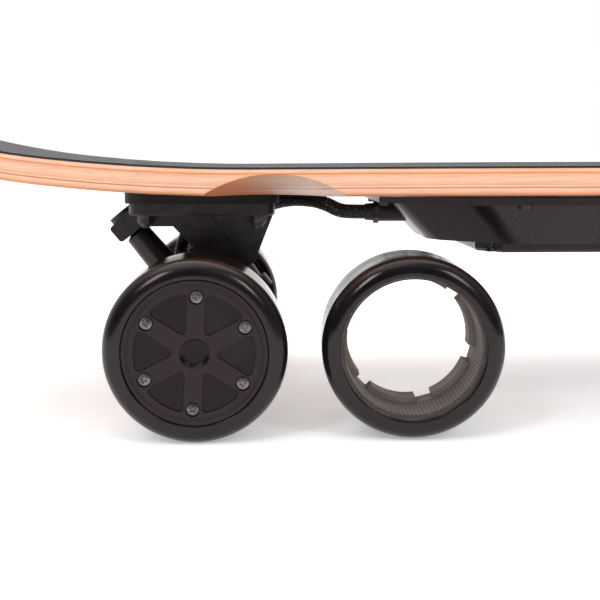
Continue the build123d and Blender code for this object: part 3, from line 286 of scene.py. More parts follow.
def moulded(name, dark, light, rough):
    """Black moulded plastic with a fine spark-eroded grain and a little rubbed shine."""
    f = Finish(name, IOR=1.4, Specular_Tint=(1.0, 0.84, 0.86, 1.0))
    wear = f.noise(16.0, 4.0, 0.6)
    fine = f.noise(1600.0, 2.0)
    f.feed("Base Color", wear.spread(0.35, 0.7).blend(dark, light))
    worn = wear.spread(0.3, 0.75, rough - 0.05, rough + 0.07)
    f.feed("Roughness", worn + fine.spread(0.35, 0.7, -0.03, 0.05))
    return f.feed("Normal", f.bump(fine, 0.00006, 0.5)).material


def cover_plastic():
    """Satin black cap: its pockets are smoother and darker than the spokes round them."""
    f = Finish("cover_plastic", IOR=1.35, Specular_Tint=(1.0, 0.80, 0.86, 1.0))
    fine = f.noise(1500.0, 2.0)
    wear = f.noise(30.0, 4.0, 0.6)
    raised = abs(f.y).above(WHEEL_FACE - POCKET_DEPTH * 0.6)
    tone = raised.blend((0.0015, 0.0012, 0.0022), (0.0135, 0.0100, 0.0105))
    f.feed("Base Color", wear.spread(0.45, 0.8, 0.0, 0.5).blend(tone, (0.017, 0.015, 0.015)))
    f.feed("Roughness", wear.spread(0.3, 0.75, 0.3, 0.38) + raised * 0.04)
    return f.feed("Normal", f.bump(fine * (raised * 0.7 + 0.3), 0.00006, 0.5)).material


def powder_coat():
    """Satin black coat on a sand casting: orange peel over the casting's own texture."""
    tint = (1.0, 0.88, 0.85, 1.0)
    f = Finish("black_powder_coat", IOR=1.38, Coat_Roughness=0.2, Coat_IOR=1.4, Specular_Tint=tint)
    peel = f.noise(700.0, 3.0, 0.55)
    sand = f.noise(150.0, 4.0, 0.6)
    f.feed("Base Color", sand.spread(0.3, 0.75).blend((0.0050, 0.0046, 0.0050), (0.0105, 0.0098, 0.0100)))
    f.feed("Roughness", peel.spread(0.3, 0.7, 0.3, 0.44))
    f.feed("Coat Weight", sand.spread(0.3, 0.7, 0.12, 0.3))
    return f.feed("Normal", f.bump(peel, 0.00014, 0.45, f.bump(sand, 0.0004, 0.3))).material


def steel(name, dark, light, rough):
    """Plated or blackened metal with a fine grain and a few scuffs."""
    f = Finish(name)
    grain = f.noise(240.0, 3.0, 0.6)
    scuff = f.noise(40.0, 5.0, 0.7)
    f.feed("Base Color", grain.spread(0.3, 0.7).blend(dark, light))
    f.feed("Metallic", scuff.spread(0.72, 0.8, 1.0, 0.75))
    f.feed("Roughness", scuff.spread(0.3, 0.75, rough, rough + 0.14) + grain.spread(0.4, 0.7, 0.0, 0.05))
    return f.feed("Normal", f.bump(grain, 0.00005, 0.35)).material


def rubber(name, dark, light, rough, scale=500.0):
    """Matt rubber or foam with a cloudy bloom and pores of the given scale."""
    f = Finish(name, IOR=1.33, Sheen_Weight=0.02, Sheen_Roughness=0.5)
    bloom = f.noise(25.0, 4.0, 0.6)
    pores = f.noise(scale, 2.0)
    f.feed("Base Color", bloom.spread(0.35, 0.7).blend(dark, light))
    f.feed("Roughness", bloom.spread(0.3, 0.7, rough - 0.06, rough + 0.08))
    return f.feed("Normal", f.bump(pores, 0.0001, 0.4)).material


def ply_height(f):
    """Height within the deck's thickness, in metres: a long kick, a tighter tip and a dish across."""
    bend = asin(KICK_RUN / KICK_RADIUS)
    slack = KICK_RADIUS - TIP_RADIUS
    along = abs(f.x)
    kick_along = along - KICK_START
    kick_down = DECK_UNDER + KICK_RADIUS - f.z
    kick = KICK_RADIUS - (kick_along * kick_along + kick_down * kick_down).sqrt()
    tip_along = along - (KICK_START + slack * sin(bend))
    tip_down = DECK_UNDER + KICK_RADIUS - slack * cos(bend) - f.z
    tip = TIP_RADIUS - (tip_along * tip_along + tip_down * tip_down).sqrt()
    flat = f.z - DECK_UNDER
    in_kick = along.above(KICK_START)
    in_tip = along.above(KICK_START + KICK_RUN)
    level = flat * (1 - in_kick) + kick * (in_kick - in_tip) + tip * in_tip
    over = (abs(f.y) - DECK_DISH_FLAT).greater(0.0)
    dish = DECK_DISH_RADIUS - (DECK_DISH_RADIUS**2 - over * over).sqrt()
    return level - dish


# The hollow over each wheel is a round cut about an axis that climbs outwards. At x, y it only
# touches the deck's underside.
WELL = {"x": 0.2822, "y": 0.0601, "radius": 0.067, "slope": 0.238}


def well_stain(f):
    """Where the hollow over a wheel is stained: its own surface, on the side toward the tip."""
    lean = sqrt(1 + WELL["slope"] ** 2)
    along = abs(f.x) - WELL["x"]
    height = (f.z - (DECK_UNDER - WELL["radius"])) - (abs(f.y) - WELL["y"]) * WELL["slope"]
    across = height / lean
    inside = (along * along + across * across).sqrt().below(WELL["radius"] + 0.0004)
    return inside * along.spread(-0.012, 0.03, 0.0, 0.85)


PALE = (0.72, 0.385, 0.24)
CREAM = (0.79, 0.485, 0.345)
AMBER = (0.66, 0.235, 0.085)
GLUE = (0.40, 0.13, 0.05)
GRAIN = (0.36, 0.16, 0.06)
PORE = (0.20, 0.085, 0.035)
STAIN = (0.80, 0.25, 0.09)
RAW_WOOD = (0.30, 0.2, 0.12)
PLIES = [
    (0.0, GLUE), (0.05, AMBER), (0.085, AMBER), (0.115, PALE), (0.25, CREAM), (0.275, GLUE),
    (0.305, AMBER), (0.33, CREAM), (0.375, CREAM), (0.39, AMBER), (0.405, PALE), (0.60, CREAM),
    (0.78, PALE), (0.81, AMBER), (0.85, AMBER), (0.875, CREAM), (0.975, PALE), (1.0, GLUE),
]


def maple_ply():
    """Lacquered maple plies with darker cross plies and thin glue lines between them."""
    f = Finish("maple_ply", IOR=1.5, Coat_Roughness=0.12, Coat_IOR=1.5)
    height = ply_height(f) / DECK_THICKNESS
    wander = f.noise(9.0, 2.0, stretch=(0.5, 1.0, 1.0)).spread(0.2, 0.8, -0.008, 0.008)
    layers = (height + wander).ramp(PLIES)
    fibre = f.noise(1.0, 4.0, 0.62, stretch=(38.0, 420.0, 1500.0))
    pore = f.noise(1.0, 2.0, 0.5, stretch=(260.0, 900.0, 4200.0))
    shade = fibre.spread(0.25, 0.8, 0.0, 0.42)
    grained = shade.blend(layers, GRAIN)
    pored = pore.spread(0.64, 0.76, 0.0, 0.35).blend(grained, PORE)
    within = (height * (1 - height)).spread(-0.02, 0.004)
    stained = well_stain(f).blend(pored, STAIN)
    f.feed("Base Color", within.blend(RAW_WOOD, stained))
    f.feed("Roughness", fibre.spread(0.3, 0.8, 0.28, 0.44))
    f.feed("Coat Weight", fibre.spread(0.3, 0.8, 0.5, 0.3))
    return f.feed("Normal", f.bump(fibre, 0.00012, 0.3, f.bump(pore, 0.00008, 0.2))).material


def grit():
    """Black abrasive sheet: sharp mineral grains in a dark binder."""
    f = Finish("grip_grit", IOR=1.55)
    grains = f.cells(1900.0)
    glint = f.cells(2300.0, output=1)
    clumps = f.noise(320.0, 3.0, 0.6)
    scuffs = f.noise(13.0, 5.0, 0.62)
    tone = scuffs.spread(0.4, 0.72).blend((0.012, 0.0115, 0.012), (0.034, 0.032, 0.031))
    f.feed("Base Color", grains.spread(0.1, 0.55).blend(tone, (0.006, 0.006, 0.006)))
    f.feed("Roughness", glint.spread(0.2, 0.9, 0.34, 0.72))
    return f.feed("Normal", f.bump(grains, 0.0003, 0.75, f.bump(clumps, 0.0006, 0.5))).material


def knurl(f):
    """Raised diamonds round the loose core's bore, and its depth in from the outer face."""
    face, yaw = spare_places()
    away = joint_axis("spare_pull")
    aside = (f.x - face.x) * cos(yaw) + (f.y - face.y) * sin(yaw)
    up = f.z - face.z
    depth = (face.x - f.x) * away.x + (face.y - f.y) * away.y
    turn = (up.math("ARCTAN2", up, aside) + SPARE_SPIN) * KNURLS
    rows = depth * (2 * pi / KNURL_PITCH)
    band = depth.above(KNURL_START) * depth.below(KNURL_END)
    diamonds = rows.cos() - turn.cos()
    return diamonds.spread(-0.8, 1.6) * band, depth


def glass_nylon():
    """Brown-grey glass-filled nylon with pale flecks: worn where raised, with painted light on its lugs, and dark
    at its outer lip.
    """
    f = Finish("glass_filled_nylon", IOR=1.5)
    diamonds, depth = knurl(f)
    cloud = f.noise(90.0, 4.0, 0.6)
    fleck = f.noise(1.0, 2.0, 0.5, stretch=(1100.0, 800.0, 1100.0))
    base = cloud.spread(0.3, 0.72).blend((0.07, 0.053, 0.046), (0.16, 0.125, 0.108))
    flecked = fleck.spread(0.62, 0.74, 0.0, 0.55).blend(base, (0.30, 0.26, 0.22))
    # Painted light lightens the lugs, against the bore's shade; the raised diamonds are worn lighter.
    lugs = depth.above(KNURL_END + 0.002)
    worn = (diamonds * 0.55 + lugs * 0.45).blend(flecked, (0.34, 0.28, 0.25))
    outer_lip = depth.above(0.0031) * depth.below(0.0068)
    f.feed("Base Color", (outer_lip * 0.75).blend(worn, (0.012, 0.010, 0.009)))
    f.feed("Roughness", cloud.spread(0.3, 0.7, 0.5, 0.66))
    cast = f.bump(fleck, 0.0005, 0.8, f.bump(cloud, 0.0004, 0.4))
    return f.feed("Normal", cast).material


def copper_wire():
    """Enamelled copper, in round turns side by side."""
    f = Finish("enamelled_copper", Coat_Roughness=0.08, Coat_Weight=0.6)
    radians_to_the_metre = 9000.0  # a turn of wire every 0.7 mm
    turn = (f.y * radians_to_the_metre).sin()
    tint = f.noise(60.0, 2.0)
    f.feed("Base Color", tint.spread(0.3, 0.7).blend((0.50, 0.17, 0.06), (0.72, 0.30, 0.12)))
    f.feed("Metallic", tint.spread(0.0, 1.0, 0.9, 1.0))
    f.feed("Roughness", turn.spread(-1.0, 1.0, 0.2, 0.38))
    return f.feed("Normal", f.bump(turn, 0.0003, 0.8)).material


def laminations():
    """Stacked steel sheets, each a fine line on the stator's edge."""
    f = Finish("stator_steel")
    radians_to_the_metre = 12566.0  # a sheet every 0.5 mm
    sheet = (f.y * radians_to_the_metre).sin()
    film = f.noise(70.0, 3.0)
    f.feed("Base Color", film.spread(0.3, 0.7).blend((0.20, 0.2, 0.215), (0.36, 0.36, 0.37)))
    f.feed("Metallic", film.spread(0.0, 1.0, 0.9, 1.0))
    f.feed("Roughness", sheet.spread(-1.0, 1.0, 0.3, 0.5))
    return f.feed("Normal", f.bump(sheet, 0.0001, 0.7)).material


def solder_mask():
    """Green circuit board with raised tracks under the mask and pale solder spots."""
    f = Finish("solder_mask", Coat_Weight=0.5, Coat_Roughness=0.1)
    layout = {"Vector": f.place, "Scale": 170.0, "Mortar Size": 0.04}
    tracks = f.make("ShaderNodeTexBrick", {"offset": 0.5}, layout, 1)
    blotch = f.noise(120.0, 2.0)
    board = tracks.blend((0.008, 0.06, 0.02), (0.02, 0.13, 0.045))
    f.feed("Base Color", blotch.spread(0.66, 0.7).blend(board, (0.35, 0.36, 0.34)))
    f.feed("Roughness", blotch.spread(0.3, 0.7, 0.25, 0.4))
    return f.feed("Normal", f.bump(tracks, 0.0001, 0.5)).material


def shrink_wrap():
    """Blue heat-shrink sleeve on round cells, finely creased along them."""
    f = Finish("cell_shrink_wrap", Coat_Weight=0.4, Coat_Roughness=0.1)
    crease = f.noise(1.0, 3.0, 0.6, stretch=(60.0, 900.0, 900.0))
    f.feed("Base Color", crease.spread(0.3, 0.7).blend((0.012, 0.10, 0.20), (0.03, 0.19, 0.34)))
    f.feed("Roughness", crease.spread(0.3, 0.7, 0.18, 0.34))
    return f.feed("Normal", f.bump(crease, 0.0003, 0.4)).material


def braided_yarn():
    """Black polyester yarn with small pale glints."""
    f = Finish("braided_yarn", Sheen_Weight=0.1, Sheen_Roughness=0.35, IOR=1.5)
    fibre = f.noise(1.0, 2.0, 0.6, stretch=(2600.0, 2600.0, 2600.0))
    glint = f.noise(900.0, 1.0).spread(0.66, 0.72)
    yarn = fibre.spread(0.35, 0.75).blend((0.004, 0.004, 0.004), (0.018, 0.017, 0.018))
    f.feed("Base Color", glint.blend(yarn, (0.55, 0.53, 0.52)))
    f.feed("Roughness", fibre.spread(0.3, 0.7, 0.3, 0.5))
    return f.feed("Normal", f.bump(fibre, 0.0001, 0.6)).material


# ---- mesh work -------------------------------------------------------
BODIES = frame["record"]["behaviour"]["bodies"]
BODY_OF = {node: body for body, members in BODIES.items() for node in members}


def new_piece(name, data):
    """An object of a mesh, a curve, a light or a camera, put in the scene."""
    piece = bpy.data.objects.new(name, data)
    bpy.context.scene.collection.objects.link(piece)
    return piece


def from_bmesh(name, bm, crease=CREASE):
    """A smooth-shaded piece with sharp edges where its faces turn by more than the crease."""
    bmesh.ops.recalc_face_normals(bm, faces=bm.faces)
    mesh = bpy.data.meshes.new(name)
    bm.to_mesh(mesh)
    bm.free()
    return new_piece(name, smooth(mesh, crease))


def smooth(mesh, crease=CREASE):
    mesh.polygons.foreach_set("use_smooth", [True] * len(mesh.polygons))
    mesh.set_sharp_from_angle(angle=radians(crease))
    return mesh


def joined(name, parts, crease=CREASE):
    """One piece made of several, which are used up."""
    bm = bmesh.new()
    for part in parts:
        bm.from_mesh(part.data)
        bpy.data.objects.remove(part)
    return from_bmesh(name, bm, crease)


def modified_mesh(thing):
    """A new mesh of a piece or a curve as its modifiers leave it."""
    depsgraph = bpy.context.evaluated_depsgraph_get()
    return bpy.data.meshes.new_from_object(thing.evaluated_get(depsgraph), depsgraph=depsgraph)


def settle(piece):
    """Turns a piece's modifiers into its mesh."""
    mesh = modified_mesh(piece)
    piece.modifiers.clear()
    piece.data = mesh
    return piece


def even_shading(piece):
    """Keeps flat faces flat beside their rounded edges."""
    weighted = piece.modifiers.new("even", "WEIGHTED_NORMAL")
    weighted.keep_sharp = True
    weighted.weight = 100
    return settle(piece)


def stand_for(piece, material, *names):
    """Gives a piece its material and puts it in place of CAD nodes of one body."""
    even_shading(piece)
    piece.data.materials.clear()
    piece.data.materials.append(material)
    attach(piece, BODY_OF[names[0]])
    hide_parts(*names)
    return piece


def arc(centre, radius, start, stop, steps):
    """Points of an arc between two angles in degrees."""
    angles = [radians(start + (stop - start) * i / steps) for i in range(steps + 1)]
    return [(centre[0] + radius * cos(a), centre[1] + radius * sin(a)) for a in angles]


def turned(profile_at, steps):
    """Bmesh turned about the Y axis, from a function of the angle that gives (radius, along) points."""
    bm = bmesh.new()
    rings = []
    for i in range(steps):
        turn = 2 * pi * i / steps
        rings.append([bm.verts.new((r * cos(turn), y, r * sin(turn))) for r, y in profile_at(turn)])
    count = len(rings[0])
    for ring, after in zip(rings, rings[1:] + rings[:1]):
        for i in range(count):
            j = (i + 1) % count
            bm.faces.new((ring[i], ring[j], after[j], after[i]))
    return bm


def lathe(name, profile, steps=160, crease=CREASE):
    """Closed ring or disc turned about the Y axis from (radius, along) points, both in metres."""
    bm = turned(lambda turn: profile, steps)
    bmesh.ops.remove_doubles(bm, verts=bm.verts, dist=1e-7)
    bmesh.ops.dissolve_degenerate(bm, edges=bm.edges, dist=1e-7)
    return from_bmesh(name, bm, crease)


def prism(outline, low, high, turn=0.0):
    """Bmesh of an outline of (x, z) points, drawn out along Y and turned about Y."""
    bm = bmesh.new()
    spin = Matrix.Rotation(turn, 3, "Y")
    ends = [[bm.verts.new(spin @ Vector((x, y, z))) for x, z in outline] for y in (low, high)]
    bm.faces.new(ends[0])
    bm.faces.new(ends[1])
    count = len(outline)
    for i in range(count):
        j = (i + 1) % count
        bm.faces.new((ends[0][i], ends[0][j], ends[1][j], ends[1][i]))
    return bm


def cut_away(piece, cutters):
    """Cuts a list of bmesh shapes out of a piece."""
    mesh = bpy.data.meshes.new("cutter")
    together = bmesh.new()
    for bm in cutters:
        bmesh.ops.recalc_face_normals(bm, faces=bm.faces)
        bm.to_mesh(mesh)
        together.from_mesh(mesh)
        bm.free()
    together.to_mesh(mesh)
    together.free()
    cutter = new_piece("cutter", mesh)
    boolean = piece.modifiers.new("cut", "BOOLEAN")
    boolean.operation = "DIFFERENCE"
    boolean.solver = "EXACT"
    boolean.object = cutter
    settle(piece)
    bpy.data.objects.remove(cutter)
    return piece


def plain_faces(piece):
    """Bmesh of a piece with doubled points merged and the triangles of each flat face joined."""
    bm = bmesh.new()
    bm.from_mesh(piece.data)
    bmesh.ops.remove_doubles(bm, verts=bm.verts, dist=1e-6)
    bmesh.ops.dissolve_limit(bm, angle_limit=radians(0.6), verts=bm.verts, edges=bm.edges)
    return bm


def bevel(bm, edges, width, steps, profile):
    options = {"offset_type": "OFFSET", "affect": "EDGES", "clamp_overlap": True}
    bmesh.ops.bevel(bm, geom=edges, offset=width, segments=steps, profile=profile, **options)


def ease_edges(piece, width, angle=30.0, steps=2, crease=CREASE):
    """Merges and rounds a piece's sharp edges, as a mould or a casting leaves them."""
    bm = plain_faces(piece)
    sharp = [e for e in bm.edges if e.is_manifold and e.calc_face_angle(0) > radians(angle)]
    bevel(bm, sharp, width, steps, 0.6)
    bmesh.ops.remove_doubles(bm, verts=bm.verts, dist=1e-7)
    mesh = bpy.data.meshes.new(piece.name)
    bm.to_mesh(mesh)
    bm.free()
    piece.data = smooth(mesh, crease)
    return piece


def round_corners(piece, width):
    """Rounds the long upright outer corners of a moulded box."""
    shortest, least_turn = 0.015, radians(20)
    bm = plain_faces(piece)
    corners = []
    for edge in bm.edges:
        rise = abs(edge.verts[0].co.z - edge.verts[1].co.z)
        outer = edge.is_manifold and edge.is_convex
        if outer and rise > shortest and edge.calc_face_angle(0) > least_turn:
            corners.append(edge)
    bevel(bm, corners, width, 6, 0.5)
    bm.to_mesh(piece.data)
    bm.free()


def eased_copy(node, material, width, corners=0.0, steps=2):
    """A copy of a CAD node with eased edges, in the node's own place."""
    piece = new_piece(f"{node}_eased", nodes[node].data.copy())
    if corners:
        round_corners(piece, corners)
    ease_edges(piece, width, steps=steps)
    return stand_for(piece, material, node)


def place(piece, centre, facing=1, spin=0.0, yaw=0.0):
    """Moves a wheel piece, made about the Y axis and facing +Y, into its own mesh's place."""
    bm = bmesh.new()
    bm.from_mesh(piece.data)
    turn = Matrix.Rotation(yaw, 4, "Z") @ Matrix.Rotation(spin, 4, "Y")
    flip = Matrix.Diagonal((1, facing, 1, 1))
    bmesh.ops.transform(bm, matrix=Matrix.Translation(centre) @ turn @ flip, verts=bm.verts)
    if facing < 0:
        bmesh.ops.reverse_faces(bm, faces=bm.faces)
    bm.to_mesh(piece.data)
    bm.free()
    return piece


# ---- geometry node trees ---------------------------------------------
def new_tree(name, inputs):
    """Empty tree with a geometry input and output, and named inputs for its sizes."""
    tree = bpy.data.node_groups.new(name, "GeometryNodeTree")
    tree.interface.new_socket("Geometry", in_out="INPUT", socket_type="NodeSocketGeometry")
    for label, kind in inputs.items():
        tree.interface.new_socket(label, in_out="INPUT", socket_type=f"NodeSocket{kind}")
    tree.interface.new_socket("Geometry", in_out="OUTPUT", socket_type="NodeSocketGeometry")
    source = tree.nodes.new("NodeGroupInput")
    wires = {socket.name: Wire(tree, socket) for socket in source.outputs if socket.name}
    return tree, wires


def end_tree(tree, geometry, material):
    real = geometry.make("GeometryNodeRealizeInstances", None, {0: geometry})
    done = real.make("GeometryNodeSetMaterial", None, {0: real, "Material": material})
    out = tree.nodes.new("NodeGroupOutput")
    tree.links.new(done.socket, out.inputs[0])
    return tree


def run_tree(thing, tree, values):
    """Puts a tree on a piece or a curve, with values for its named inputs."""
    modifier = thing.modifiers.new("grow", "NODES")
    modifier.node_group = tree
    for item in tree.interface.items_tree:
        if item.in_out == "INPUT" and item.name in values:
            modifier[item.identifier] = values[item.name]
    thing.update_tag()
    bpy.context.view_layer.update()


def ring_of(piece, tree, material, count, radius, turn, wobble):
    """Repeats a piece round the Y axis, each copy turned by a little of its own, in radians."""
    values = {"Count": count, "Radius": radius, "Turn": turn, "Wobble": wobble, "Material": material}
    run_tree(piece, tree, values)
    return settle(piece)


def ring_tree():
    """Copies of the piece on a circle about the Y axis, each turned to face outwards."""
    inputs = {"Count": "Int", "Radius": "Float", "Turn": "Float", "Wobble": "Float", "Material": "Material"}
    tree, wire = new_tree("ring_of_copies", inputs)
    start = wire["Geometry"]
    index = start.make("GeometryNodeInputIndex")
    angle = index * (2 * pi) / wire["Count"] + wire["Turn"]
    spot = start.triple(angle.cos() * wire["Radius"], 0.0, angle.sin() * wire["Radius"])
    points = start.make("GeometryNodePoints", None, {"Count": wire["Count"], "Position": spot})
    least, most, seed = 2, 3, 8
    limits = {least: wire["Wobble"] * -1.0, most: wire["Wobble"], seed: 7}
    loose = start.make("FunctionNodeRandomValue", {"data_type": "FLOAT"}, limits, 1)
    turn = start.triple(0.0, loose - angle, 0.0)
    rotation = start.make("FunctionNodeEulerToRotation", None, {0: turn})
    copied = {"Points": points, "Instance": start, "Rotation": rotation}
    copies = start.make("GeometryNodeInstanceOnPoints", None, copied)
    return end_tree(tree, copies, wire["Material"])


def braid_tree():
    """Flat yarns wound both ways round the piece's own curve, each over one and under the next."""
    inputs = {"Yarns": "Int", "Turns": "Float", "Radius": "Float", "Lift": "Float"}
    inputs |= {"Yarn Width": "Float", "Steps": "Int", "Material": "Material"}
    tree, wire = new_tree("braided_sleeve", inputs)
    start = wire["Geometry"]
    line = start.make("GeometryNodeResampleCurve", None, {"Curve": start, "Count": wire["Steps"]})
    copies = {"Geometry": line, "Amount": wire["Yarns"]}
    yarns = start.make("GeometryNodeDuplicateElements", {"domain": "SPLINE"}, copies)
    number = yarns.also(1)
    way = number.math("MODULO", number, 2.0) * 2.0 - 1.0
    along = start.make("GeometryNodeSplineParameter")
    each_way = wire["Yarns"] / 2.0
    first = number.math("FLOOR", number / 2.0) * (2 * pi) / each_way
    angle = first + way * along * wire["Turns"] * (2 * pi)
    lift = way * wire["Lift"] * (along * wire["Turns"] * each_way * (2 * pi)).cos()
    outward = round_the_line(start, angle)
    offset = start.vector("SCALE", {0: outward, "Scale": wire["Radius"] + lift})
    remembered = {"Geometry": yarns, "Name": "outward", "Value": outward}
    at_points = {"data_type": "FLOAT_VECTOR", "domain": "POINT"}
    kept = start.make("GeometryNodeStoreNamedAttribute", at_points, remembered)
    wound = start.make("GeometryNodeSetPosition", None, {"Geometry": kept, "Offset": offset})
    recalled = {"data_type": "FLOAT_VECTOR"}
    facing = start.make("GeometryNodeInputNamedAttribute", recalled, {"Name": "outward"})
    faced = {"Curve": wound, "Normal": facing}
    turned_yarns = start.make("GeometryNodeSetCurveNormal", {"mode": "FREE"}, faced)
    weave = start.drawn(turned_yarns, flat_yarn(start, wire))
    filler = {"Resolution": 24, "Radius": wire["Radius"] - wire["Lift"]}
    jacket = start.drawn(line, start.make("GeometryNodeCurvePrimitiveCircle", None, filler))
    both = start.make("GeometryNodeJoinGeometry", None, {0: weave})
    tree.links.new(jacket.socket, both.socket.node.inputs[0])
    return end_tree(tree, both, wire["Material"])


def round_the_line(start, angle):
    """Direction square to the curve, at an angle round it."""
    normal = start.make("GeometryNodeInputNormal")
    tangent = start.make("GeometryNodeInputTangent")
    across = start.vector("CROSS_PRODUCT", {0: tangent, 1: normal})
    forward = start.vector("SCALE", {0: normal, "Scale": angle.cos()})
    sideways = start.vector("SCALE", {0: across, "Scale": angle.sin()})
    return start.vector("ADD", {0: forward, 1: sideways})


def flat_yarn(start, wire):
    """A yarn's section: six-sided, thin across the sleeve's wall and wide round it."""
    circle = start.make("GeometryNodeCurvePrimitiveCircle", None, {"Resolution": 6, "Radius": 1.0})
    size = start.triple(wire["Lift"] * 0.9, wire["Yarn Width"] / 2.0, 1.0)
    return start.make("GeometryNodeTransform", None, {"Geometry": circle, "Scale": size})


# ---- wheels ----------------------------------------------------------
def tyre(name, bore, lip):
    """Poured tyre: flat tread, full round shoulders, and a rolled lip round the hub's face."""
    radius, low, high = WHEEL_RADIUS, WHEEL_BACK, WHEEL_FACE
    parting = (low + high) / 2
    profile = [(bore, low + BEAD)] + arc((bore + BEAD, low + BEAD), BEAD, 180, 270, 4)[1:]
    profile += arc((radius - SHOULDER, low + SHOULDER), SHOULDER, -90, 0, 18)
    mark = PARTING_LINE
    profile += [(radius, parting - mark), (radius - 0.00009, parting), (radius, parting + mark)]
    profile += arc((radius - SHOULDER, high - SHOULDER), SHOULDER, 0, 90, 18)
    profile += arc((lip + LIP_ROUNDING, high - LIP_ROUNDING), LIP_ROUNDING, 90, 180, 5)
    if lip < bore:
        profile += [(lip, COVER_BACK + 0.0002), (bore, COVER_BACK)]
    return lathe(name, profile, 192, 50.0)


def wheel_tyre(node, material, bore, lip):
    piece = tyre(f"{node}_poured", bore, lip)
    on_axle(piece, node.replace("_tyre", "_spin"))
    return stand_for(piece, material, node)


def wedge_outline():
    """Pocket between two spokes: a rounded wedge whose outer side follows the cover's rim."""
    reach, rounding = POCKET_REACH, POCKET_ROUNDING
    apex = (HALF_SPOKE + rounding) / sin(pi / POCKETS)
    outer = reach - rounding
    edge = pi / POCKETS - asin((HALF_SPOKE + rounding) / outer)
    x, z, tilt = outer * cos(edge), outer * sin(edge), degrees(edge)
    points = arc((apex, 0.0), rounding, 120, 240, 5)
    points += arc((x, -z), rounding, -120, -tilt, 5)
    points += arc((0.0, 0.0), reach, -tilt, tilt, 10)[1:-1]
    return points + arc((x, z), rounding, tilt, 120, 5)


def on_axle(piece, spin, along=0.0, turned_in=False):
    """Puts a wheel piece on the axle of a spin joint, facing away from the board's middle."""
    joint = joint_place(spin)
    side = 1 if joint.y > 0 else -1
    return place(piece, (joint.x, side * along, joint.z), -side if turned_in else side)


def cover(side, material):
    """Motor's outer cap: bevelled rim, six wedge pockets, screw seats and a dished middle."""
    node = f"{side}_cover_plate"
    low, high = COVER_BACK, WHEEL_FACE - 0.0001
    rim, rounding, scored = COVER_RADIUS, 0.0007, high - 0.00028
    profile = [(0.0, low), (rim, low), (rim, high - rounding)]
    profile += arc((rim - rounding, high - rounding), rounding, 0, 90, 4)[1:]
    profile += [(rim - 0.0019, high), (rim - 0.0022, scored), (rim - 0.0029, scored), (rim - 0.0032, high)]
    profile += [(DISH_RADIUS, high)] + arc((DISH_RADIUS, high - 0.0005), 0.0005, 90, 150, 3)[1:]
    profile += [(0.0060, high - 0.0015), (0.0050, high - 0.0019), (0.0, high - 0.0020)]
    piece = lathe(f"{node}_moulded", profile, 144, 30.0)
    wedge = wedge_outline()
    seat = arc((SCREW_CIRCLE, 0.0), SCREW_SEAT, 0, 360, 32)[:-1]
    above = high + 0.002
    cutters = []
    for i in range(POCKETS):
        turn = COVER_TURN + 2 * pi * i / POCKETS
        cutters.append(prism(wedge, high - POCKET_DEPTH, above, turn))
        cutters.append(prism(seat, high - SCREW_SEAT_DEPTH, above, turn + pi / POCKETS))
    cut_away(piece, cutters)
    ease_edges(piece, 0.0003, 40.0, 3, 30.0)
    on_axle(piece, f"rear_{side}_spin")
    return stand_for(piece, material, node)


def cross_outline(across):
    """Cross recess: four arms that widen a little at the middle."""
    half, thin = across / 2, across / 8
    corner = thin * 1.5
    return [
        (half, thin), (corner, corner), (thin, half), (-thin, half), (-corner, corner), (-half, thin),
        (-half, -thin), (-corner, -corner), (-thin, -half), (thin, -half), (corner, -corner), (half, -thin),
    ]


def screw(head, height, shank, length, across):
    """Pan-head screw along Y, its head's top at y = 0, with a cross recess."""
    crown = head * 2.4
    crown_steps = [head * 0.88 * i / 7 for i in range(8)]
    top = [(r, sqrt(crown**2 - r**2) - crown) for r in crown_steps]
    edge_y = top[-1][1]
    profile = [(0.0, -length), (shank * 0.7, -length), (shank, -length + 0.0005), (shank, -height)]
    profile += [(head, -height), (head, edge_y - 0.0003), (head * 0.97, edge_y - 0.0001)] + top[::-1]
    piece = lathe("screw_form", profile, 28, 40.0)
    return cut_away(piece, [prism(cross_outline(across), -height * 0.85, 0.002)])


def motor_screws(side, material, ring):
    """The cap's six cross-head screws and the inner plate's six, each turned as it was driven."""
    node, spin = f"{side}_motor_screws", f"rear_{side}_spin"
    outer = screw(head=0.0031, height=0.0015, shank=0.0012, length=0.0075, across=0.0034)
    ring_of(outer, ring, material, POCKETS, SCREW_CIRCLE, pi / POCKETS - COVER_TURN, 0.9)
    on_axle(outer, spin, WHEEL_FACE - 0.00022)
    inner = screw(head=0.0022, height=0.0014, shank=0.001, length=0.009, across=0.0022)
    ring_of(inner, ring, material, POCKETS, PLATE_SCREW_CIRCLE, -COVER_TURN, 0.7)
    on_axle(inner, spin, WHEEL_BACK - 0.0006, turned_in=True)
    return stand_for(joined(f"{node}_driven", (outer, inner), 40.0), material, node)


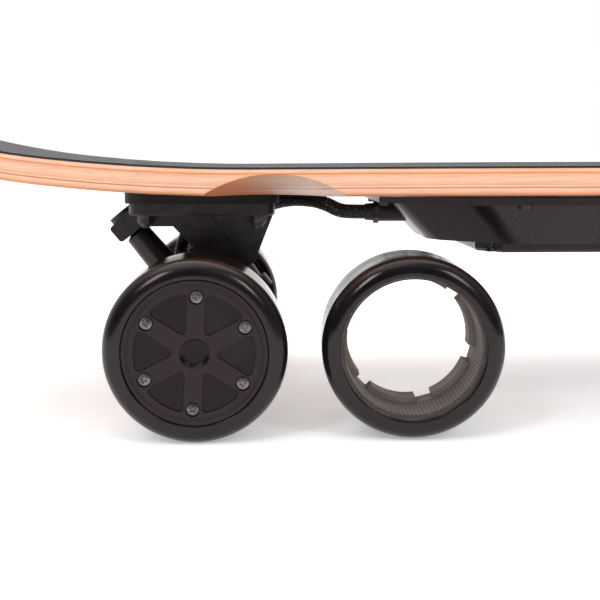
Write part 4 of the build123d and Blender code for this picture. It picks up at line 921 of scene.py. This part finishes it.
def core(name, ring, material):
    """Moulded ring with a toothed collar inside and a ribbed groove behind its outer lip."""
    bore, outer, ease = CORE_BORE, CORE_RADIUS, 0.0002
    low, high = WHEEL_BACK + 0.001, COVER_BACK
    lugs = low + LUG_LENGTH
    groove, groove_end = high - GROOVE_INSET, high - GROOVE_INSET - GROOVE_WIDTH
    knurl_high, knurl_low = WHEEL_FACE - KNURL_START, WHEEL_FACE - KNURL_END
    profile = [(LUG_BORE + 0.0004, low), (outer, low), (outer, high)]
    profile += [(bore + 0.0006, high), (bore, high - 0.0006)]
    recesses = ((groove, groove_end, GROOVE_DEPTH), (knurl_high, knurl_low, KNURL_HEIGHT + 0.0001))
    for start, end, depth in recesses:
        profile += [(bore, start), (bore + depth, start - ease), (bore + depth, end + ease), (bore, end)]
    profile += [(bore, lugs), (LUG_BORE + 0.0003, lugs), (LUG_BORE, lugs - 0.0003), (LUG_BORE, low + 0.0004)]
    piece = lathe(name, profile)
    half, inside, outside = NOTCH_WIDTH / 2, LUG_BORE - 0.004, bore + 0.0004
    notch = [(inside, -half), (outside, -half), (outside, half), (inside, half)]
    turns = [COVER_TURN + 2 * pi * i / NOTCHES for i in range(NOTCHES)]
    cut_away(piece, [prism(notch, low - 0.001, lugs, turn) for turn in turns])
    ease_edges(piece, 0.00025, 40.0, 1)
    ribs = groove_ribs(ring, material, bore + 0.0005, groove - GROOVE_WIDTH / 2)
    band = knurled_band(bore, knurl_low + 0.0001, knurl_high - 0.0001)
    return joined(name, (piece, ribs, band))


def groove_ribs(ring, material, radius, y):
    """Small blocks round the core's groove."""
    bm = bmesh.new()
    bmesh.ops.create_cube(bm, size=1.0)
    bmesh.ops.scale(bm, vec=(0.0009, 0.0023, 0.0008), verts=bm.verts)
    bmesh.ops.bevel(bm, geom=bm.edges, offset=0.00015, segments=1, affect="EDGES")
    rib = from_bmesh("rib", bm)
    ring_of(rib, ring, material, GROOVE_RIBS, radius, 0.0, 0.0)
    return place(rib, (0, y, 0))


def knurled_band(bore, low, high):
    """Thin ring bedded in the bore, whose inner face is raised in rows of diamonds."""
    rows = round((high - low) / KNURL_PITCH * 4)
    lines = [low + (high - low) * j / rows for j in range(rows + 1)]
    back = bore + KNURL_HEIGHT * 3

    def section(turn):
        around = cos(KNURLS * turn)
        raised = [(cos(2 * pi * (WHEEL_FACE - y) / KNURL_PITCH) - around) / 2 for y in lines]
        inner = [(bore + KNURL_HEIGHT * (0.5 - 0.5 * up), y) for up, y in zip(raised, lines)]
        return inner + [(back, high), (back, low)]

    return from_bmesh("knurled_band", turned(section, KNURLS * 4), 80.0)


def spare_places():
    """The loose tyre's outer face centre, and its yaw, from the direction that it slides off in."""
    away = joint_axis("spare_pull")
    low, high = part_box("spare_tyre")
    centre = (low + high) / 2
    return centre + away * ((WHEEL_FACE - WHEEL_BACK) / 2), atan2(away.x, -away.y)


def spare_pieces(tyre_skin, core_skin, ring):
    """The loose tyre and its core, stood on the floor with their outer face toward the slide."""
    face, yaw = spare_places()
    loose_tyre = tyre("spare_tyre_poured", CORE_RADIUS, LIP)
    loose_core = core("spare_core_moulded", ring, core_skin)
    for node, piece, skin in (("spare_tyre", loose_tyre, tyre_skin), ("spare_core", loose_core, core_skin)):
        piece.data.transform(Matrix.Translation((0, -WHEEL_FACE, 0)))
        place(piece, face, -1, SPARE_SPIN, yaw)
        stand_for(piece, skin, node)


# ---- motor cable -----------------------------------------------------
def cable(material):
    """Braided sleeve from the hanger's nipple, up under the deck and into the box's gland."""
    box_end = -REAR_AXLE - BOX_HALF_LENGTH
    gland_z = DECK_UNDER - 0.012
    # Points chosen to follow the cable's slack, with x measured from the rear axle.
    route = [
        (-0.0149, 0.0058, 0.0713), (-0.0144, 0.0090, 0.0765),
        (-0.0134, 0.0155, DECK_UNDER - 0.0330), (-0.0105, 0.0245, DECK_UNDER - 0.0245),
        (0.0060, 0.0335, DECK_UNDER - 0.0172), (0.0300, 0.0362, DECK_UNDER - 0.0122),
        (0.0480, 0.0290, DECK_UNDER - 0.0058), (0.0630, 0.0110, DECK_UNDER - 0.0052),
        (0.0720, 0.0020, DECK_UNDER - 0.0075), (0.0790, 0.0, gland_z + 0.0006),
        (box_end - 0.010, 0.0, gland_z), (box_end + 0.016, 0.0, gland_z),
    ]
    curve = bpy.data.curves.new("cable_braid", "CURVE")
    curve.dimensions = "3D"
    curve.resolution_u = 24
    spline = curve.splines.new("NURBS")
    spline.points.add(len(route) - 1)
    for point, (x, y, z) in zip(spline.points, route):
        point.co = (REAR_AXLE + x, y, z, 1.0)
    spline.order_u = 3
    spline.use_endpoint_u = True
    line = new_piece("cable_line", curve)
    sizes = {"Yarns": 20, "Turns": 6.5, "Radius": 0.0038, "Lift": 0.00024, "Yarn Width": 0.0013}
    run_tree(line, braid_tree(), {**sizes, "Steps": 420, "Material": material})
    piece = new_piece("cable_braid", smooth(modified_mesh(line), 60.0))
    bpy.data.objects.remove(line)
    piece.data.materials.clear()
    piece.data.materials.append(material)
    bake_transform(piece)
    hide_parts("cable_sleeve")


# ---- dressing the frame ----------------------------------------------
def make_finishes():
    """The finishes that pieces share, and the variants of a common finish."""
    return {
        "tyre": urethane(),
        "casting": powder_coat(),
        "zinc": steel("zinc_plate", (0.50, 0.50, 0.51), (0.72, 0.72, 0.72), 0.2),
        "screw": steel("nickel_screw", (0.11, 0.104, 0.10), (0.21, 0.2, 0.195), 0.3),
        "black": steel("black_oxide", (0.035, 0.034, 0.034), (0.09, 0.088, 0.085), 0.3),
        "cap": cover_plastic(),
        "box": moulded("box_plastic", (0.0075, 0.0062, 0.0064), (0.015, 0.0125, 0.0125), 0.3),
        "nylon": moulded("hub_nylon", (0.022, 0.021, 0.02), (0.05, 0.048, 0.045), 0.4),
        "gland": moulded("gland_nylon", (0.016, 0.016, 0.016), (0.035, 0.035, 0.034), 0.42),
        "gloss": moulded("polished_plastic", (0.012, 0.012, 0.013), (0.024, 0.024, 0.025), 0.14),
        "shell": steel("black_anodise", (0.018, 0.018, 0.02), (0.04, 0.04, 0.043), 0.34),
        "pad": rubber("riser_rubber", (0.003, 0.0028, 0.0028), (0.008, 0.0075, 0.0072), 0.5),
        "bushing": rubber("bushing_urethane", (0.02, 0.02, 0.022), (0.045, 0.044, 0.046), 0.38),
        "foam": rubber("gasket_foam", (0.02, 0.02, 0.02), (0.05, 0.05, 0.05), 0.8, 1400.0),
        "flap": rubber("flap_rubber", (0.014, 0.014, 0.014), (0.034, 0.033, 0.032), 0.55),
        "ground": steel("ground_steel", (0.42, 0.42, 0.43), (0.62, 0.62, 0.62), 0.22),
        "nickel": steel("nickel_plate", (0.5, 0.49, 0.47), (0.66, 0.65, 0.62), 0.18),
        "plate": steel("extruded_aluminium", (0.55, 0.55, 0.56), (0.74, 0.74, 0.75), 0.3),
        "core": glass_nylon(),
    }


def dress_plain_nodes(skins):
    """Nodes that keep their CAD mesh."""
    dress(maple_ply(), "deck")
    dress(grit(), "grip_tape")
    dress(skins["foam"], "box_gasket")
    dress(skins["black"], "truck_bolts", "box_screws", "cap_pin")
    dress(shrink_wrap(), "battery_cells")
    dress(skins["nylon"], "cell_holder")
    dress(solder_mask(), "controller_board")
    dress(skins["plate"], "controller_heatsink")
    dress(laminations(), "motor_stators")
    dress(copper_wire(), "stator_windings")
    dress(skins["zinc"], "motor_axles", "front_axle")
    for side in ("left", "right"):
        dress(skins["core"], f"rear_{side}_core")
        dress(skins["nickel"], f"{side}_motor_magnets")
        dress(skins["ground"], f"{side}_motor_bearings", f"front_{side}_bearings")
        dress(skins["shell"], f"{side}_motor_can")


def ease_outer_nodes(skins):
    """Nodes that keep their shape but get rounded edges, each by a width in metres."""
    for node in ("rear_hanger", "front_hanger", "rear_baseplate", "front_baseplate"):
        eased_copy(node, skins["casting"], 0.0007, steps=3)
    for node, skin, width in (
        ("riser_pads", "pad", 0.0008), ("pivot_cups", "bushing", 0.0003), ("kingpins", "black", 0.0003),
        ("kingpin_nuts", "black", 0.0004), ("bushing_washers", "zinc", 0.0002),
        ("rear_bushings", "bushing", 0.0005), ("front_bushings", "bushing", 0.0005),
        ("truck_nuts", "black", 0.0003), ("box_lid", "box", 0.0005), ("cable_gland", "gland", 0.0003),
        ("button_bezel", "zinc", 0.0003), ("power_button", "gloss", 0.0002),
        ("charge_socket", "gloss", 0.0003), ("charge_cap", "flap", 0.0003),
        ("axle_nuts", "zinc", 0.0004), ("axle_spacers", "zinc", 0.0002),
    ):
        eased_copy(node, skins[skin], width)
    eased_copy("battery_box", skins["box"], 0.0012, corners=0.007)


def build_wheels(skins):
    ring = ring_tree()
    for side in ("left", "right"):
        wheel_tyre(f"rear_{side}_tyre", skins["tyre"], CORE_RADIUS, LIP)
        wheel_tyre(f"front_{side}_tyre", skins["tyre"], FRONT_CORE, FRONT_CORE)
        cover(side, skins["cap"])
        motor_screws(side, skins["screw"], ring)
        eased_copy(f"{side}_motor_back", skins["shell"], 0.0003)
        eased_copy(f"front_{side}_hub", skins["nylon"], 0.0004)
    spare_pieces(skins["tyre"], skins["core"], ring)


def build():
    skins = make_finishes()
    dress_plain_nodes(skins)
    ease_outer_nodes(skins)
    build_wheels(skins)
    cable(braided_yarn())


# ---- studio ----------------------------------------------------------
WHITE = (1.0, 1.0, 1.0, 1.0)


def floor_finish():
    """Pale matt floor with a faint glow of its own."""
    f = Finish("studio_floor", IOR=1.4, Emission_Color=WHITE, Emission_Strength=0.35)
    soft = f.noise(3.0, 3.0)
    f.feed("Base Color", soft.spread(0.2, 0.8).blend((0.90, 0.90, 0.90), (0.93, 0.93, 0.93)))
    f.feed("Roughness", soft.spread(0.2, 0.8, 0.55, 0.62))
    return f.material


def make_floor():
    bm = bmesh.new()
    bmesh.ops.create_grid(bm, x_segments=1, y_segments=1, size=30.0)
    just_below = -0.0002
    bmesh.ops.translate(bm, vec=(0, 0, just_below), verts=bm.verts)
    floor = from_bmesh("studio_floor", bm)
    floor.data.materials.append(floor_finish())


def make_world():
    """Pale room for the eye; for reflections it is bright above and behind, and dim in front."""
    world = bpy.data.worlds.new("studio")
    bpy.context.scene.world = world
    world.use_nodes = True
    tree = world.node_tree
    tree.nodes.clear()
    start = Wire(tree)
    direction = start.make("ShaderNodeTexCoord", output=0)
    split = start.make("ShaderNodeSeparateXYZ", None, {0: direction})
    back, up = split.also(1), split.also(2)
    mirrored = back.spread(-0.4, 0.5, 0.03, 0.9) + up.spread(0.4, 0.95, 0.0, 0.45)
    seen = start.make("ShaderNodeLightPath", output=0)
    soft = seen.also("Is Diffuse Ray")
    level = mirrored * (1 - soft) + soft * 0.8
    room = start.make("ShaderNodeBackground", None, {"Color": WHITE, "Strength": level})
    plain = start.make("ShaderNodeBackground", None, {"Color": WHITE, "Strength": 1.0})
    mixed = start.make("ShaderNodeMixShader", None, {0: seen, 1: room, 2: plain})
    out = tree.nodes.new("ShaderNodeOutputWorld")
    tree.links.new(mixed.socket, out.inputs[0])


def softbox(name, spot, target, size, power):
    """Rectangular soft light, its size in metres and its power in watts."""
    light = bpy.data.lights.new(name, "AREA")
    light.shape = "RECTANGLE"
    light.size, light.size_y = size
    light.energy = power
    lamp = new_piece(name, light)
    lamp.location = spot
    lamp.rotation_euler = (Vector(target) - Vector(spot)).to_track_quat("-Z", "Y").to_euler()


def make_lights():
    softbox("overhead", (-0.35, 0.1, 1.9), (-0.25, 0.0, 0.05), size=(2.4, 1.8), power=17.0)
    softbox("front_left", (-1.5, -1.7, 1.7), (-0.3, -0.1, 0.07), size=(0.5, 0.9), power=17.0)
    softbox("front_right", (1.1, -1.8, 1.6), (-0.2, -0.1, 0.07), size=(0.5, 0.9), power=14.0)


def make_camera():
    camera = bpy.data.cameras.new("camera")
    camera.lens = 66.8
    camera.sensor_width = 36.0
    camera.clip_start = 0.02
    camera.clip_end = 100.0
    eye = new_piece("camera", camera)
    eye.location = (-0.2935, -0.6498, 0.1400)
    pitch, yaw = radians(-7.52), radians(-2.61)
    eye.rotation_euler = Euler((pi / 2 + pitch, 0.0, yaw))
    bpy.context.scene.camera = eye


bpy.context.scene.view_settings.view_transform = "Standard"
make_camera()
make_world()
make_lights()
make_floor()
build()
